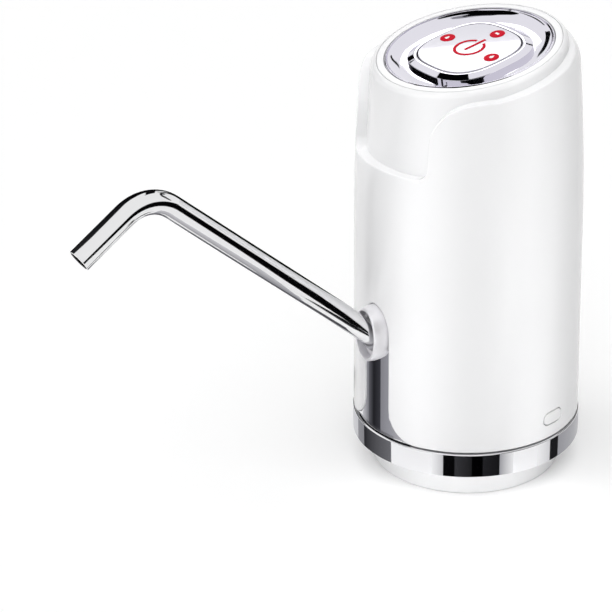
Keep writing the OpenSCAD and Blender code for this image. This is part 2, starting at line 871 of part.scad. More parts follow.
// The spout's run at a given radius: long leg, bend, and short leg let into the bend's end
module spout_run(r, extra = 0) {
    long_l = spout_long - bend_cut;
    short_l = spout_short - bend_cut;
    lap = 0.4;
    lap_step = 0.05;
    translate([0, 0, -spout_seat - extra]) cylinder(r = r, h = spout_seat + long_l + extra);
    translate([0, -spout_bend_r, long_l]) rotate([90, 0, 90])
        rotate_extrude(angle = bend_turn) translate([spout_bend_r, 0]) circle(r = r);
    translate([0, -spout_bend_r, long_l]) rotate([bend_turn, 0, 0]) translate([0, spout_bend_r, -lap])
        cylinder(r = r - lap_step, h = lap + short_l + extra);
}

module spout_tube() color(steel)
    on_spout() difference() {
        spout_run(spout_r);
        spout_run(spout_r - spout_wall, over);
    }

module outlet_hose() color(rubber) {
    hose_end = pump_reach - (nipple_r + hose_wall) * tan(spout_rise) - hose_gap;
    on_spout() translate([0, 0, -hose_end])
        tube(nipple_r + hose_wall, nipple_r + run_gap, hose_end - socket_end - fit);
}

// Charging port

module charge_board() color("darkgreen")
    at_port() translate([-charge_w / 2, -charge_front, charge_z]) cube([charge_w, charge_d, charge_t]);

module usb_socket() color(steel)
    at_port() translate([0, -usb_mouth_r, charge_z + charge_t]) {
        difference() {
            translate([-usb_w / 2, 0, 0]) cube([usb_w, usb_d, usb_h]);
            translate([-usb_w / 2 + usb_wall, -over, usb_wall])
                cube([usb_w - 2 * usb_wall, usb_d - usb_back + over, usb_h - 2 * usb_wall]);
        }
        translate([-usb_w / 4, 0.6, usb_h * 0.55]) cube([usb_w / 2, usb_d - 1, usb_h * 0.2]);
    }

// Gear pump

module pump_housing() color("lightgray") {
    nipple_in = pump_reach + nipple_root;
    difference() {
        union() {
            translate([0, 0, chamber_z]) pump_block(pump_r, chamber_h + roof_t);
            on_spout() translate([0, 0, -nipple_in])
                cylinder(r = nipple_r, h = nipple_in - socket_end - nipple_l - clear);
        }
        for (side = [-1, 1]) translate([side * pitch_r, pump_y, chamber_z - over])
            cylinder(r = chamber_r, h = chamber_h + over);
        translate([-port_slot, pump_y, chamber_z - over]) cube([2 * port_slot, chamber_r, chamber_h + over]);
        translate([-port_slot, pump_y - chamber_r, chamber_z - over])
            cube([2 * port_slot, chamber_r, chamber_h + over]);
        on_spout() translate([0, 0, -nipple_in - pump_wall]) cylinder(r = nipple_bore_r, h = nipple_in);
        translate([-pitch_r, pump_y, roof_z - over])
            cylinder(r = shaft_r + run_gap, h = roof_t + 2 * over);
        translate([-pitch_r, pump_y, motor_z - seal_h]) cylinder(r = seal_r + fit, h = seal_h + over);
        translate([pitch_r, pump_y, roof_z - over])
            cylinder(r = idler_pin_d / 2 + run_gap, h = pin_in_roof + pin_end_gap + over);
        at_pump_screws() translate([0, 0, chamber_z - over])
            cylinder(r = pump_screw_r + run_gap, h = chamber_h + over);
    }
}

module pump_cover() color("lightgray") {
    ring_count = 3;
    difference() {
        union() {
            translate([0, 0, pump_z]) pump_block(pump_r, cover_t);
            translate([0, inlet_y, pump_z - barb_l]) {
                cylinder(r = barb_r - barb_ridge, h = barb_l + over);
                for (i = [0 : ring_count - 1]) translate([0, 0, i * barb_l / 4])
                    cylinder(r1 = barb_r - barb_ridge, r2 = barb_r, h = barb_l / 5);
            }
        }
        translate([0, inlet_y, pump_z - barb_l - over])
            cylinder(r = barb_bore_r, h = barb_l + cover_t + 2 * over);
        translate([pitch_r, pump_y, pump_z + cover_t - pin_in_cover - pin_end_gap])
            cylinder(r = idler_pin_d / 2 + run_gap, h = pin_in_cover + pin_end_gap + over);
        at_pump_screws() translate([0, 0, pump_z - over])
            cylinder(r = pump_screw_r + fit, h = cover_t + 2 * over);
    }
}

module pump_gasket() color(rubber)
    translate([0, 0, pump_z + cover_t]) difference() {
        pump_block(pump_r, gasket_t);
        translate([0, 0, -over]) {
            pump_block(chamber_r, gasket_t + 2 * over);
            at_pump_screws() cylinder(r = pump_screw_r + fit, h = gasket_t + 2 * over);
        }
    }

module pump_screws() color(steel)
    translate([0, 0, pump_z]) at_pump_screws()
        screw(pump_screw_r, cover_t + gasket_t + chamber_h - over, pump_head_r, pump_head_t);

module drive_gear() color("khaki")
    translate([-pitch_r, pump_y, chamber_z + gear_gap]) gear(shaft_r + press_gap);

module idler_gear() color("khaki")
    translate([pitch_r, pump_y, chamber_z + gear_gap]) rotate([0, 0, 180 / gear_teeth])
        gear(idler_pin_d / 2 + run_gap);

module idler_pin() color(steel) {
    pin_z = pump_z + cover_t - pin_in_cover;
    translate([pitch_r, pump_y, pin_z]) cylinder(d = idler_pin_d, h = roof_z + pin_in_roof - pin_z);
}

module shaft_seal() color(rubber)
    translate([-pitch_r, pump_y, motor_z - seal_h]) tube(seal_r, shaft_r + run_gap, seal_h);

// Motor

module motor_can() color("gray")
    translate([-pitch_r, pump_y, motor_z]) difference() {
        cylinder(r = motor_r, h = motor_l);
        translate([0, 0, can_wall]) cylinder(r = motor_r - can_wall, h = motor_l);
        translate([0, 0, -over]) cylinder(r = bush_r + fit, h = 2 * over + can_wall);
    }

module motor_magnets() color(rubber)
    translate([-pitch_r, pump_y, motor_z + can_wall + magnet_from]) difference() {
        tube(magnet_r, magnet_r - magnet_t, motor_l - can_wall - magnet_from - magnet_to);
        for (side = [0, 1]) rotate([0, 0, 180 * side]) translate([-motor_r / 4, 0, -over])
            cube([motor_r / 2, motor_r, motor_l]);
    }

module motor_armature() color("sienna")
    translate([-pitch_r, pump_y, motor_z + can_wall + armature_from]) difference() {
        cylinder(r = armature_r, h = motor_l - can_wall - armature_from - armature_to);
        translate([0, 0, -over]) cylinder(r = shaft_r + press_gap, h = motor_l);
        for (a = [0 : 120 : 240]) rotate([0, 0, a]) translate([armature_r / 2, -pole_slot / 2, -over])
            cube([armature_r, pole_slot, motor_l]);
    }

module motor_shaft() color(steel)
    translate([-pitch_r, pump_y, chamber_z + gear_gap])
        cylinder(r = shaft_r, h = shaft_top - chamber_z - gear_gap);

module motor_bushes() color("goldenrod")
    translate([-pitch_r, pump_y, 0]) {
        translate([0, 0, motor_z]) tube(bush_r, shaft_r + run_gap, bush_l);
        translate([0, 0, motor_z + motor_l]) tube(bush_r, shaft_r + run_gap, bush_l);
    }

module motor_endcap() color("black")
    translate([-pitch_r, pump_y, motor_z + motor_l]) {
        tube(motor_r, bush_r + fit, endcap_t);
        for (side = [-1, 1]) translate([side * terminal_x - terminal_w / 2, -terminal_t / 2, endcap_t - over])
            cube([terminal_w, terminal_t, terminal_h + over]);
    }

// Battery

module battery_cell() color("royalblue")
    translate([0, cell_y, cell_z]) {
        cylinder(d = cell_d, h = cell_l);
        translate([0, 0, cell_l]) cylinder(d = cell_d / 3, h = cell_nub_h);
    }

module battery_cradle() color("black")
    translate([0, cell_y, plate_top]) {
        cylinder(r = cradle_r, h = cradle_floor);
        difference() {
            tube(cradle_r, cell_d / 2 + fit, cradle_h);
            translate([-cell_d, -cell_d * (1 + cradle_mouth), cradle_floor])
                cube([2 * cell_d, cell_d, cell_l]);
        }
    }

// Wires from the motor and the battery to the control board
board_under = board_top + board_t + wire_r;
function board_point(x, y) = [x, top_y + y * cos(top_tilt) + board_under * sin(top_tilt),
    top_z + y * sin(top_tilt) - board_under * cos(top_tilt)];

module wiring() color("red") {
    terminal_z = motor_z + motor_l + endcap_t + terminal_h + wire_r;
    nub_z = cell_z + cell_l + cell_nub_h + wire_r;
    rise = 12;
    lean = 3;
    spread = 3;
    motor_pad = [-6, -6];
    cell_pad = [6, 8];
    for (side = [-1, 1]) {
        wire([[-pitch_r + side * terminal_x, pump_y, terminal_z],
            [-pitch_r + side * terminal_x, pump_y + lean, terminal_z + rise],
            board_point(motor_pad[0] + side * spread, motor_pad[1])]);
        wire([[side * spread / 2, cell_y, nub_z], [side * spread, cell_y - lean, nub_z + rise],
            board_point(cell_pad[0] + side * spread, cell_pad[1])]);
    }
}

bottle_collar();
neck_seal();
base_ring();
base_plate();
base_screws();
outer_casing();
front_trim();
top_cap();
top_ring();
chrome_dish();
button_frame();
button_panel();
power_symbol();
indicator_lenses();
control_board();
board_screws();
switch_body();
switch_plunger();
indicator_leds();
spout_socket();
spout_sleeve();
spout_tube();
outlet_hose();
charge_flap();
charge_board();
usb_socket();
pump_housing();
pump_cover();
pump_gasket();
pump_screws();
drive_gear();
idler_gear();
idler_pin();
shaft_seal();
motor_can();
motor_magnets();
motor_armature();
motor_shaft();
motor_bushes();
motor_endcap();
battery_cell();
battery_cradle();
wiring();
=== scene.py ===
from math import asin, atan2, copysign, cos, pi, radians, sin, sqrt, tan

import bmesh
import bpy
from mathutils import Matrix, Vector


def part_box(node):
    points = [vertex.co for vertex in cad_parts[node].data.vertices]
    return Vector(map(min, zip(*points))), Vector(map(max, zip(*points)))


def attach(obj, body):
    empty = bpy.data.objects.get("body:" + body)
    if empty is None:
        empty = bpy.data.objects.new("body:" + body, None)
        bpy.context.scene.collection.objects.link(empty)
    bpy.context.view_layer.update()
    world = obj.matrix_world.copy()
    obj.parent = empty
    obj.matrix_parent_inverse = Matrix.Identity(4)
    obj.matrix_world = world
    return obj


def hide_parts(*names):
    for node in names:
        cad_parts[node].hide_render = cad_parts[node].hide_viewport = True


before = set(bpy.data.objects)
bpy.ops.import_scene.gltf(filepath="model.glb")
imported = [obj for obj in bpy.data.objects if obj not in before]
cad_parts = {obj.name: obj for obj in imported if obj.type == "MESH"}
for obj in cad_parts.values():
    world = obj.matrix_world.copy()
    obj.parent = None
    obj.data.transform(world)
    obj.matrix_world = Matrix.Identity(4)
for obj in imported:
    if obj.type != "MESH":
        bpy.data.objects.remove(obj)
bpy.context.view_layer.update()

bl_info = {
    "name": "Water jug pump",
    "version": (1, 0, 0),
    "blender": (4, 5, 0),
    "location": "View3D > Sidebar > Jug pump",
    "description": "Dresses an electric water jug pump: casing, chrome, push-button top and spout",
    "category": "Object",
}

MM = 0.001


def srgb(code):
    """Linear colour of an sRGB hex value."""
    channels = [int(code[i:i + 2], 16) / 255 for i in (1, 3, 5)]
    return [c / 12.92 if c <= 0.04045 else ((c + 0.055) / 1.055) ** 2.4 for c in channels]


# Sizes that the frame gives
RING_LOW, RING_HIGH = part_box("base_ring")
RING_R = RING_HIGH.x
COLLAR_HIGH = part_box("bottle_collar")[1]
FOOT_Z = RING_HIGH.z + 0.8 * MM
FOOT_LOW = RING_HIGH.z + 0.5 * MM
FLANGE_R = COLLAR_HIGH.x

# Collar and band
CROWN_R = 27.9 * MM
COLLAR_R = 33.2 * MM
RING_WALL = 3.5 * MM
RING_LIP = 1.7 * MM
CROWN_EDGE = 0.5 * MM
COLLAR_EDGE = 1 * MM
SEAL_STEP = 0.8 * MM
SEAL_DEPTH = 2 * MM

# Gaps beside a fitted piece and a sliding one, distances in metres that count as flat, near and the
# same point, and the angle in radians from which an edge counts as sharp
FIT_GAP = 0.15 * MM
RUN_GAP = 0.06 * MM
FLAT = 1e-7
NEAR = 1e-6
MERGE = 2e-6
SHARP = 0.5

# Casing: a straight wall that a wide curve draws in, and a round shoulder at the back
BASE_R = RING_R - 0.3 * MM
TAPER = 0.5 / 70
CURVE_Z = FOOT_Z + 70 * MM
CROWN_CURVE = 800 * MM
TOP_Z = FOOT_Z + 132.3 * MM
TOP_Y = -0.55 * MM
TILT = radians(11)
CAP_RISE = 3.9 * MM
CAP_STEP = 3.6 * MM
CAP_T = 2 * MM
CAP_BORE = 6 * MM
CASING_T = 3.65 * MM
SHOULDER_Z = TOP_Z - 3.8 * MM
SHOULDER_R = 9.5 * MM
SHOULDER_RISE = 8 * MM
NOTCH_HALF = 20 * MM
NOTCH_FOOT = TOP_Z - 34.3 * MM
NOTCH_CORNER = 4 * MM
FLARE_UP = 12 * MM
FLARE_REACH = 0.9 * MM
CAP_FOOT = NOTCH_FOOT - 7 * MM

# Sloped top, along its own normal
RIM_R = 31.33 * MM
RIM_ROUND = 2.2 * MM
RING_SEAT = 1.6 * MM
DISH_R = RIM_R - 2.6 * MM
DISH_DEPTH = 2.9 * MM
DISH_WALL = 1.2 * MM
DISH_LIP = 0.65 * MM
DISH_FLOOR = 1.12
DISH_TUCK = 0.8 * MM
FRAME_HALF = DISH_R - 9.5 * MM
FRAME_TOP = -0.5 * MM
FRAME_SLOPE_H = 1.0 * MM
FRAME_W = 3.1 * MM
FRAME_SLOPE_W = 0.7 * FRAME_W
FRAME_POWER = 2.8
PANEL_HALF = FRAME_HALF - FRAME_W - 0.4 * MM
PANEL_TOP = -0.4 * MM
PANEL_T = 2.2 * MM
LENS_R = 2.6 * MM
LENS_T = 1 * MM
LENS_OUT = 0.76 * PANEL_HALF
PRINT_T = 0.15 * MM
PRINT_EDGE = 0.04 * MM
SYMBOL_R = 5.5 * MM
SYMBOL_W = 1.0 * MM
SYMBOL_GAP = radians(22)
SIGN = 1.2 * MM
SIGN_T = 0.05 * MM
SIGN_EDGE = 0.01 * MM
DROP_R = 0.7 * MM

# Spout, along its own axis, and its socket
SPOUT_Z = FOOT_Z + 36.3 * MM
SPOUT_RISE = radians(41)
SPOUT_TURN = radians(41 + 33)
SPOUT_R = 4 * MM
SPOUT_WALL = 0.6 * MM
SPOUT_LONG = 113.8 * MM
SPOUT_SHORT = 30.7 * MM
SPOUT_BEND = 14 * MM
SPOUT_SEAT = 14 * MM
SLEEVE_R = 4.86 * MM
SLEEVE_OUT = 1 * MM
SOCKET_W = 6.6 * MM
SOCKET_H = 10.2 * MM
SOCKET_Z = SPOUT_Z + 1.5 * MM
SOCKET_REACH = 4.3 * MM
SOCKET_RIM = 1.3 * MM
SOCKET_RECESS = 3.2 * MM
SOCKET_ROOT = 3.4 * MM

# Chrome strip under the socket
STRIP_HALF = 6.9 * MM
STRIP_INSET = 0.6 * MM
STRIP_T = 1.6 * MM
STRIP_FLARE_W = 11 * MM
STRIP_FLARE_H = 11 * MM
STRIP_GAP = 0.15 * MM
STRIP_EDGE = 0.15 * MM
STRIP_REACH = 18 * MM
STRIP_SWEEP = radians(78)
STRIP_TOP = SPOUT_Z - 3.6 * MM

# Charging port
PORT_TURN = radians(102)
PORT_Z = FOOT_Z + 7 * MM
FLAP_W = 9.0 * MM
FLAP_H = 4.3 * MM
FLAP_T = 1.3 * MM
FLAP_GAP = 0.45 * MM
PORT_W = 7.8 * MM
PORT_H = 3.0 * MM
FLAP_EDGE = 0.15 * MM
PORT_EDGE = 0.1 * MM

# Camera of the photograph, with the picture's size in pixels
PICTURE = 612
CAMERA_TURN = radians(56.55)
CAMERA_RISE = radians(25.71)
CAMERA_ROLL = radians(-0.99)
CAMERA_DISTANCE = 850.01 * MM
CAMERA_FOCAL_PX = 2476.51
AIM = Vector((0, 0, 90 * MM))
AIM_PX = (468.06, 217.92)

# Points round a turned piece, and depth of the pores in a moulded face
ROUND = 144
PORE_DEPTH = 0.05 * MM

# Light: a dim dome, a wide lamp overhead, weak ones from the front, the left and the back, two
# upright strips that give the casing its two bright bands, and small ones for the collar and notch
DOME = 0.1
FLOOR_LIFT = 0.11
# Turn, rise and width in degrees, and strength of each far lamp
SUNS = (
    ("top_light", 56, 80, 80, 2.4), ("key_light", 50, 25, 50, 0.1),
    ("side_light", -35, 20, 40, 0.57), ("back_light", 236, 15, 40, 0.45),
)
# Turn, rise and spread in degrees, reach, height, width and length in mm, and power of each strip
STRIP_LIGHTS = (
    ("left_strip", 28.5, 0, 180, 65, 106, 8, 190, 0.0118),
    ("right_strip", 85, 0, 180, 65, 106, 8, 190, 0.0135),
    ("collar_strip", 56, 31, 60, 56, 18, 70, 6, 0.0012),
    ("notch_strip", -30, 50, 50, 72, 166, 30, 8, 0.0006),
)

# Studio cards. Bands that the chrome ring and the strip mirror: turns from the front and shades
BAND_STEPS = 6
BAND_LIFT = 0.5 * MM
RING_BANDS = (
    (-40, -17.5, "#DADADC", "#D2D2D5"), (-17.5, -9.5, "#98989C", "#909094"),
    (-9.5, 13, "#2A2A2E", "#707074"), (36, 41.8, "#FFFFFF", "#D2D2D4"),
    (41.8, 47.5, "#0A0A0B", "#080809"), (47.5, 56, "#38383B", "#202022"),
    (56, 61.3, "#020203", "#020203"), (61.3, 69.8, "#242427", "#18181A"),
    (69.8, 77, "#A8A8AC", "#FAFAFA"), (91, 99.6, "#FCFCFC", "#DCDCDE"),
    (99.6, 106, "#1E1E20", "#202022"), (106, 150, "#A0A0A4", "#D2D2D4"),
)
STRIP_BANDS = (
    (-14, -6.5, "#D0D0D4", "#7A7A80"), (-6.5, -2, "#606066", "#26262A"),
    (-2, 4, "#222226", "#3C3C42"), (4, 11, "#8A8A90", "#9E9EA4"),
)
FOOT_BANDS = ((11, 19, "#9E9EA4", "#B4B4B8"), (19, 27, "#B4B4B8", "#D0D0D4"))
# Cards through columns of two places in mm: the card's shade, then columns, with their own shade
# where it differs. A place without a height is on the floor. The spout mirrors the black floor and a
# grey floor card of painted shadow, the far end of the black, and cards for its bend, left side and
# upper edge. The ring mirrors three floor cards at its back, and in its upper edge two dark cards
# round the casing's foot, a painted shade line along the gap between casing and band
FLOOR_CARD = 0.8
SPOUT_CARDS = {
    "black": ("#050506", ((75, 0), (72, -22)), ((105, 45), (125, -18)), ((150, 112), (165, 3)),
              ((195, 180), (200, 22)), ((300, 270), (300, 72))),
    # Grey card under the spout: painted shadow of the pump on the floor, mirrored by the tube
    "grey": ("#A0A0A4", ((-12, -74), (-8, -135)), ((10, -74), (12, -135), "#B8B8BC"),
             ((62, -74), (62, -135), "#D4D4D8")),
    "far": ("#050506", ((300, -120, 68), (300, -120, 128)), ((300, -20, 30), (300, -20, 195)),
            ((290, 30, 0), (290, 30, 212)), ((240, 290, 0), (240, 290, 190))),
    "bend": ("#28282B", ((-28, -60, 205), (-28, -60, 300)),
             ((-28, -75, 185), (-28, -75, 255), "#1A1A1C"),
             ((-28, -92, 158), (-28, -92, 200), "#0A0A0B"),
             ((-28, -106, 132), (-28, -106, 165), "#020203")),
    "flag": ("#060607", ((-28, -46, 56), (-28, -46, 98)), ((-28, -122, 122), (-28, -120, 175)),
             ((-28, -160, 105), (-28, -182, 198), "#28282B")),
    "edge": ("#060607", ((-8, -44, 67), (-8, -44, 97)), ((-8, -80, 98), (-8, -80, 128)),
             ((-8, -108, 123), (-8, -108, 146))),
    "behind": ("#0A0A0B", ((-76, 34), (-46, 20), "#1A1A1C"), ((-62, 56), (-37, 33.5))),
    "beyond": ("#0A0A0B", ((-52, 64.5), (-31.5, 39)), ((-41.5, 72), (-25, 43.3), "#28282B")),
    "aside": ("#0A0A0B", ((-80, -21.5), (-48, -13), "#28282B"), ((-83, -3), (-50, -1.7))),
    # Dark cards round the casing's foot that the band's upper edge mirrors: painted shade of the gap
    "painted_gap_shade_left": ("#060607", ((-14, -38.8, 24), (-15, -50, 24)), ((-27, -30.5, 24), (-34, -52, 24)),
                  ((-34, -23, 24), (-60, -52, 24)), ((-100, -10, 24), (-120, -60, 24))),
    "painted_gap_shade_right": ("#060607", ((64, 28.5, 24), (37.6, 16.8, 24)), ((61, 51, 24), (31.6, 26.5, 24)),
                   ((45, 78, 24), (20.6, 35.7, 24)), ((17.4, 98.5, 24), (7.2, 40.6, 24)),
                   ((-17.4, 98.5, 24), (-7.2, 40.6, 24))),
}
# Cards round the dish: reach, power and shade, then columns of turn, lowest and highest rise in
# degrees, with the column's own shade where that differs
DISH_CARDS = {
    "black": (0.07, 1, "#040405", (
        (-104, 56, 65, "#808084"), (-96, 58, 72), (-86, 56.5, 76), (-79, 54.5, 78), (-72, 52.5, 78),
        (-66, 50.5, 78), (-56, 44, 78), (-46, 35, 78), (-36, 28, 78), (-25, 22, 78), (-14, 22, 78),
        (-6, 28, 78), (4, 34, 78), (14, 33, 78), (24, 26, 78), (33, 11, 77), (60, 8, 76),
        (78, 11, 72, "#101012"), (95, 30, 62, "#505054"))),
    "crown": (0.07, 1, "#98989C", (
        (-108, 55, 70), (-103, 65, 80), (-90, 75, 88), (-60, 78, 88), (-35, 78, 87))),
    "streak": (0.14, 1, "#060607", (
        (-84, 17, 25, "#606064"), (-66, 14, 27), (-50, 12, 25), (-29, 10, 17, "#101012"))),
    "side": (1.0, 1, "#0A0A0C", (
        (-116, 22, 26, "#505054"), (-112, 19, 26), (-104, 18, 27), (-98, 16, 28), (-93, 9, 28),
        (-88, 8, 16, "#303034"))),
    "left": (1.0, 1, "#0A0A0C", (
        (-154, 30, 33.5, "#303034"), (-150, 30.5, 34.5), (-138, 32, 34.5), (-130, 31.5, 33.8),
        (-125.5, 30, 32, "#505054"))),
    "panel_softbox": (1.0, 3.4, "#FFFFFF", (
        (-124, 33, 40), (-121.1, 32.3, 40), (-116, 31.1, 40), (-112, 30.2, 40))),
}


def rounding(name, description, size, least, most):
    """Property for the rounding of an edge, with its sizes in mm."""
    return bpy.props.FloatProperty(name=name, description=description, default=size * MM,
                                   min=least * MM, max=most * MM, unit="LENGTH")


def paint(name, description, code):
    """Property for a colour, given as an sRGB hex value."""
    return bpy.props.FloatVectorProperty(name=name, description=description, subtype="COLOR",
                                         default=srgb(code), min=0, max=1)


class PumpSizes(bpy.types.PropertyGroup):
    """Sizes of the visible edges and seams."""
    casing_edge: rounding("Casing edge", "Rounding of the casing's moulded edges", 0.5, 0.3, 1.2)
    band_edge: rounding("Band edge", "Rounding of the chrome band's upper edge", 0.4, 0.1, 1.2)
    seam: rounding("Seam", "Rounding of the edges beside a seam of the top", 0.25, 0.1, 0.4)
    mouth_edge: rounding("Mouth edge", "Rounding of the spout's mouth", 0.15, 0.05, 0.25)


class PumpColours(bpy.types.PropertyGroup):
    """Colours of the visible finishes."""
    shell: paint("Shell", "Colour of the moulded casing", "#F1F1F2")
    chrome: paint("Chrome", "Colour of the plated chrome", "#F0F0F2")
    dish: paint("Dish", "Colour of the chrome in the top", "#E2E0E9")
    steel: paint("Spout steel", "Colour of the polished spout", "#E9E9EA")
    socket: paint("Socket", "Colour of the pearl-chrome socket", "#F2F1F4")
    panel: paint("Panel", "Colour of the button's acrylic face", "#D8D6E0")
    print: paint("Print", "Colour of the symbol and the indicators", "#D50D2B")
    floor: paint("Floor", "Colour of the studio floor", "#F6F6F6")


# Placing

TOP = Matrix.Translation((0, TOP_Y, TOP_Z)) @ Matrix.Rotation(TILT, 4, "X")


def wall_r(z):
    """Radius of the casing's face at a height."""
    r = BASE_R - TAPER * (z - FOOT_Z)
    if z > CURVE_Z:
        r -= (z - CURVE_Z) ** 2 / (2 * CROWN_CURVE)
    if z > SHOULDER_Z:
        r -= SHOULDER_R - sqrt(SHOULDER_R ** 2 - (z - SHOULDER_Z) ** 2)
    return r


def cap_r(z):
    """Radius of the cap's face at a height."""
    r = BASE_R - TAPER * (z - FOOT_Z) - (z - CURVE_Z) ** 2 / (2 * CROWN_CURVE)
    return r - CAP_STEP


def slope_z(y, level):
    """Height of the plane that lies a level above the sloped top, at a depth."""
    return TOP_Z + ((y - TOP_Y) * sin(TILT) + level) / cos(TILT)


def edge_z(turn):
    """Height of the casing's sloped edge at a turn from the front."""
    z = TOP_Z - CAP_RISE
    for _ in range(5):
        z = slope_z(-wall_r(z) * cos(turn), -CAP_RISE)
    return z


def heading(turn):
    """Level direction at a turn from the front."""
    return Vector((sin(turn), -cos(turn), 0))


def spot_at(turn, r, z):
    """Place at a turn from the front, a radius and a height."""
    return heading(turn) * r + Vector((0, 0, z))


SPOUT_FACE = wall_r(SPOUT_Z)
SPOUT = (Matrix.Translation((0, -SPOUT_FACE, SPOUT_Z))
         @ Matrix.Rotation(pi / 2 - SPOUT_RISE, 4, "X"))
SOCKET = Matrix.Translation((0, -SPOUT_FACE, SOCKET_Z)) @ Matrix.Rotation(pi / 2, 4, "X")


# Modelling

def sweep(start, end, count):
    """Evenly spaced values from start to end."""
    return [start + (end - start) * i / count for i in range(count + 1)]


def rounded(corners, arc=4):
    """Points of an outline whose corners (x, y, radius) are rounded off."""
    points = []
    for i, (x, y, r) in enumerate(corners):
        here = Vector((x, y))
        if r == 0:
            points.append(here)
            continue
        before = (Vector(corners[i - 1][:2]) - here).normalized()
        after = (Vector(corners[(i + 1) % len(corners)][:2]) - here).normalized()
        half = before.angle(after) / 2
        centre = here + (before + after).normalized() * r / sin(half)
        spoke = here + before * r / tan(half) - centre
        turn = -spoke.angle_signed(here + after * r / tan(half) - centre)
        for a in sweep(0, turn, arc):
            points.append(centre + Matrix.Rotation(a, 2) @ spoke)
    return points


def deselect():
    """Leaves no object selected."""
    bpy.ops.object.select_all(action="DESELECT")


def edit(on):
    """Goes into edit mode, or back to the object."""
    bpy.ops.object.mode_set(mode="EDIT" if on else "OBJECT")


def started(name):
    """The primitive that was just added, named, in edit mode with all of it selected."""
    piece = bpy.context.object
    piece.name = piece.data.name = name
    edit(True)
    bpy.ops.mesh.select_all(action="SELECT")
    return piece


def settled(piece, smooth, place=None):
    """Leaves edit mode with the mesh merged, facing out, in its place and smoothed."""
    bpy.ops.mesh.select_all(action="SELECT")
    bpy.ops.mesh.remove_doubles(threshold=MERGE)
    bpy.ops.mesh.normals_make_consistent(inside=False)
    edit(False)
    if place:
        piece.data.transform(place)
    bpy.ops.object.shade_smooth_by_angle(angle=radians(smooth))
    flatten_normals(piece)
    return piece


def turned(name, profile, place=None, closed=True, oval=0.0, soft=None, smooth=35):
    """A loop drawn out along a profile of (half width, height) points. The loop is a circle, an
    oval that is taller by a given length, or a soft square."""
    deselect()
    bpy.ops.mesh.primitive_circle_add(vertices=ROUND, radius=1)
    piece = started(name)
    edit(False)
    r, z = profile[0]
    for vert in piece.data.vertices:
        x, y = vert.co.xy
        if soft:
            x, y = [copysign(abs(v) ** (2 / soft), v) for v in (x, y)]
        vert.co = (x * r, y * (r + oval), z)
    edit(True)
    for next_r, next_z in list(profile[1:]) + (list(profile[:1]) if closed else []):
        bpy.ops.mesh.extrude_edges_move(TRANSFORM_OT_translate={"value": (0, 0, next_z - z)})
        bpy.ops.transform.resize(
            value=(next_r / r, (next_r + oval) / (r + oval), 1), center_override=(0, 0, next_z))
        r, z = next_r, next_z
    if not closed:
        bpy.ops.mesh.edge_face_add()
        bpy.ops.mesh.select_all(action="DESELECT")
        bpy.ops.mesh.select_non_manifold()
        bpy.ops.mesh.edge_face_add()
    return settled(piece, smooth, place)


def flat_slab(name, outline, depth):
    """Slab under a flat outline, in edit mode."""
    deselect()
    bpy.ops.mesh.primitive_circle_add(vertices=len(outline), radius=1, fill_type="NGON")
    piece = bpy.context.object
    for vert, (x, y) in zip(piece.data.vertices, outline):
        vert.co = (x, y, 0)
    started(name)
    bpy.ops.mesh.extrude_region_move(TRANSFORM_OT_translate={"value": (0, 0, -depth)})
    bpy.ops.mesh.select_all(action="SELECT")
    bpy.ops.mesh.normals_make_consistent(inside=False)
    return piece


def pick_edges(piece, wanted):
    """Selects the edges for which wanted(edge) is true."""
    bpy.ops.mesh.select_mode(type="EDGE")
    bpy.ops.mesh.select_all(action="DESELECT")
    mesh = bmesh.from_edit_mesh(piece.data)
    for edge in mesh.edges:
        edge.select_set(wanted(edge))
    bmesh.update_edit_mesh(piece.data)


def is_front_edge(edge):
    """True for a sharp edge round the slab's upper face."""
    return all(abs(v.co.z) < FLAT for v in edge.verts) and edge.calc_face_angle(0) > SHARP


def bevel_front(piece, size, steps=4, keep=None):
    """Rounds the edges of a slab's upper face, apart from those that keep names."""
    pick_edges(piece, lambda e: is_front_edge(e) and not (keep and keep(e)))
    bpy.ops.mesh.bevel(offset=size, segments=steps, affect="EDGES", clamp_overlap=False)


def wrap_round(piece, across, up, inset=0.0):
    """Cuts a slab drawn in arc and height into a fine grid and lays it round the casing."""
    for s in across:
        bpy.ops.mesh.select_all(action="SELECT")
        bpy.ops.mesh.bisect(plane_co=(s, 0, 0), plane_no=(1, 0, 0), threshold=FLAT)
    for z in up:
        bpy.ops.mesh.select_all(action="SELECT")
        bpy.ops.mesh.bisect(plane_co=(0, z, 0), plane_no=(0, 1, 0), threshold=FLAT)
    edit(False)
    for vert in piece.data.vertices:
        s, z, depth = vert.co
        vert.co = spot_at(s / BASE_R, wall_r(z) - inset + depth, z)
    edit(True)
    return settled(piece, 40)


def apply_modifier(piece, kind, **settings):
    """Adds a modifier with its settings and applies it."""
    modifier = piece.modifiers.new(kind.lower(), kind)
    for key, value in settings.items():
        setattr(modifier, key, value)
    deselect()
    piece.select_set(True)
    bpy.context.view_layer.objects.active = piece
    bpy.ops.object.modifier_apply(modifier=modifier.name)


def cut_away(piece, cutter):
    """Cuts the cutter's shape out of a piece and removes the cutter."""
    apply_modifier(piece, "BOOLEAN", object=cutter, operation="DIFFERENCE", solver="EXACT")
    bpy.data.objects.remove(cutter)


def flatten_normals(piece):
    """Lets the large faces set the shading beside a rounded edge."""
    apply_modifier(piece, "WEIGHTED_NORMAL", weight=80, keep_sharp=True)


def arc_place(x, z):
    """Arc length round the casing for a point seen from the front."""
    return asin(x / wall_r(z)) * BASE_R


def dressed(piece, finish, slot, body, *nodes):
    """Gives a piece its material and body, and hides the CAD nodes that it stands for; the slot is
    not used.
    """
    piece.data.materials.clear()
    piece.data.materials.append(finish)
    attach(piece, body)
    if nodes:
        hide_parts(*nodes)
    return piece


# Materials

def add(tree, kind, values=None, links=None, **settings):
    """Adds a node with its settings, input values and links."""
    node = tree.nodes.new(kind)
    for key, value in settings.items():
        setattr(node, key, value)
    for key, value in (values or {}).items():
        node.inputs[key].default_value = value
    for key, (source, output) in (links or {}).items():
        tree.links.new(source.outputs[output], node.inputs[key])
    return node


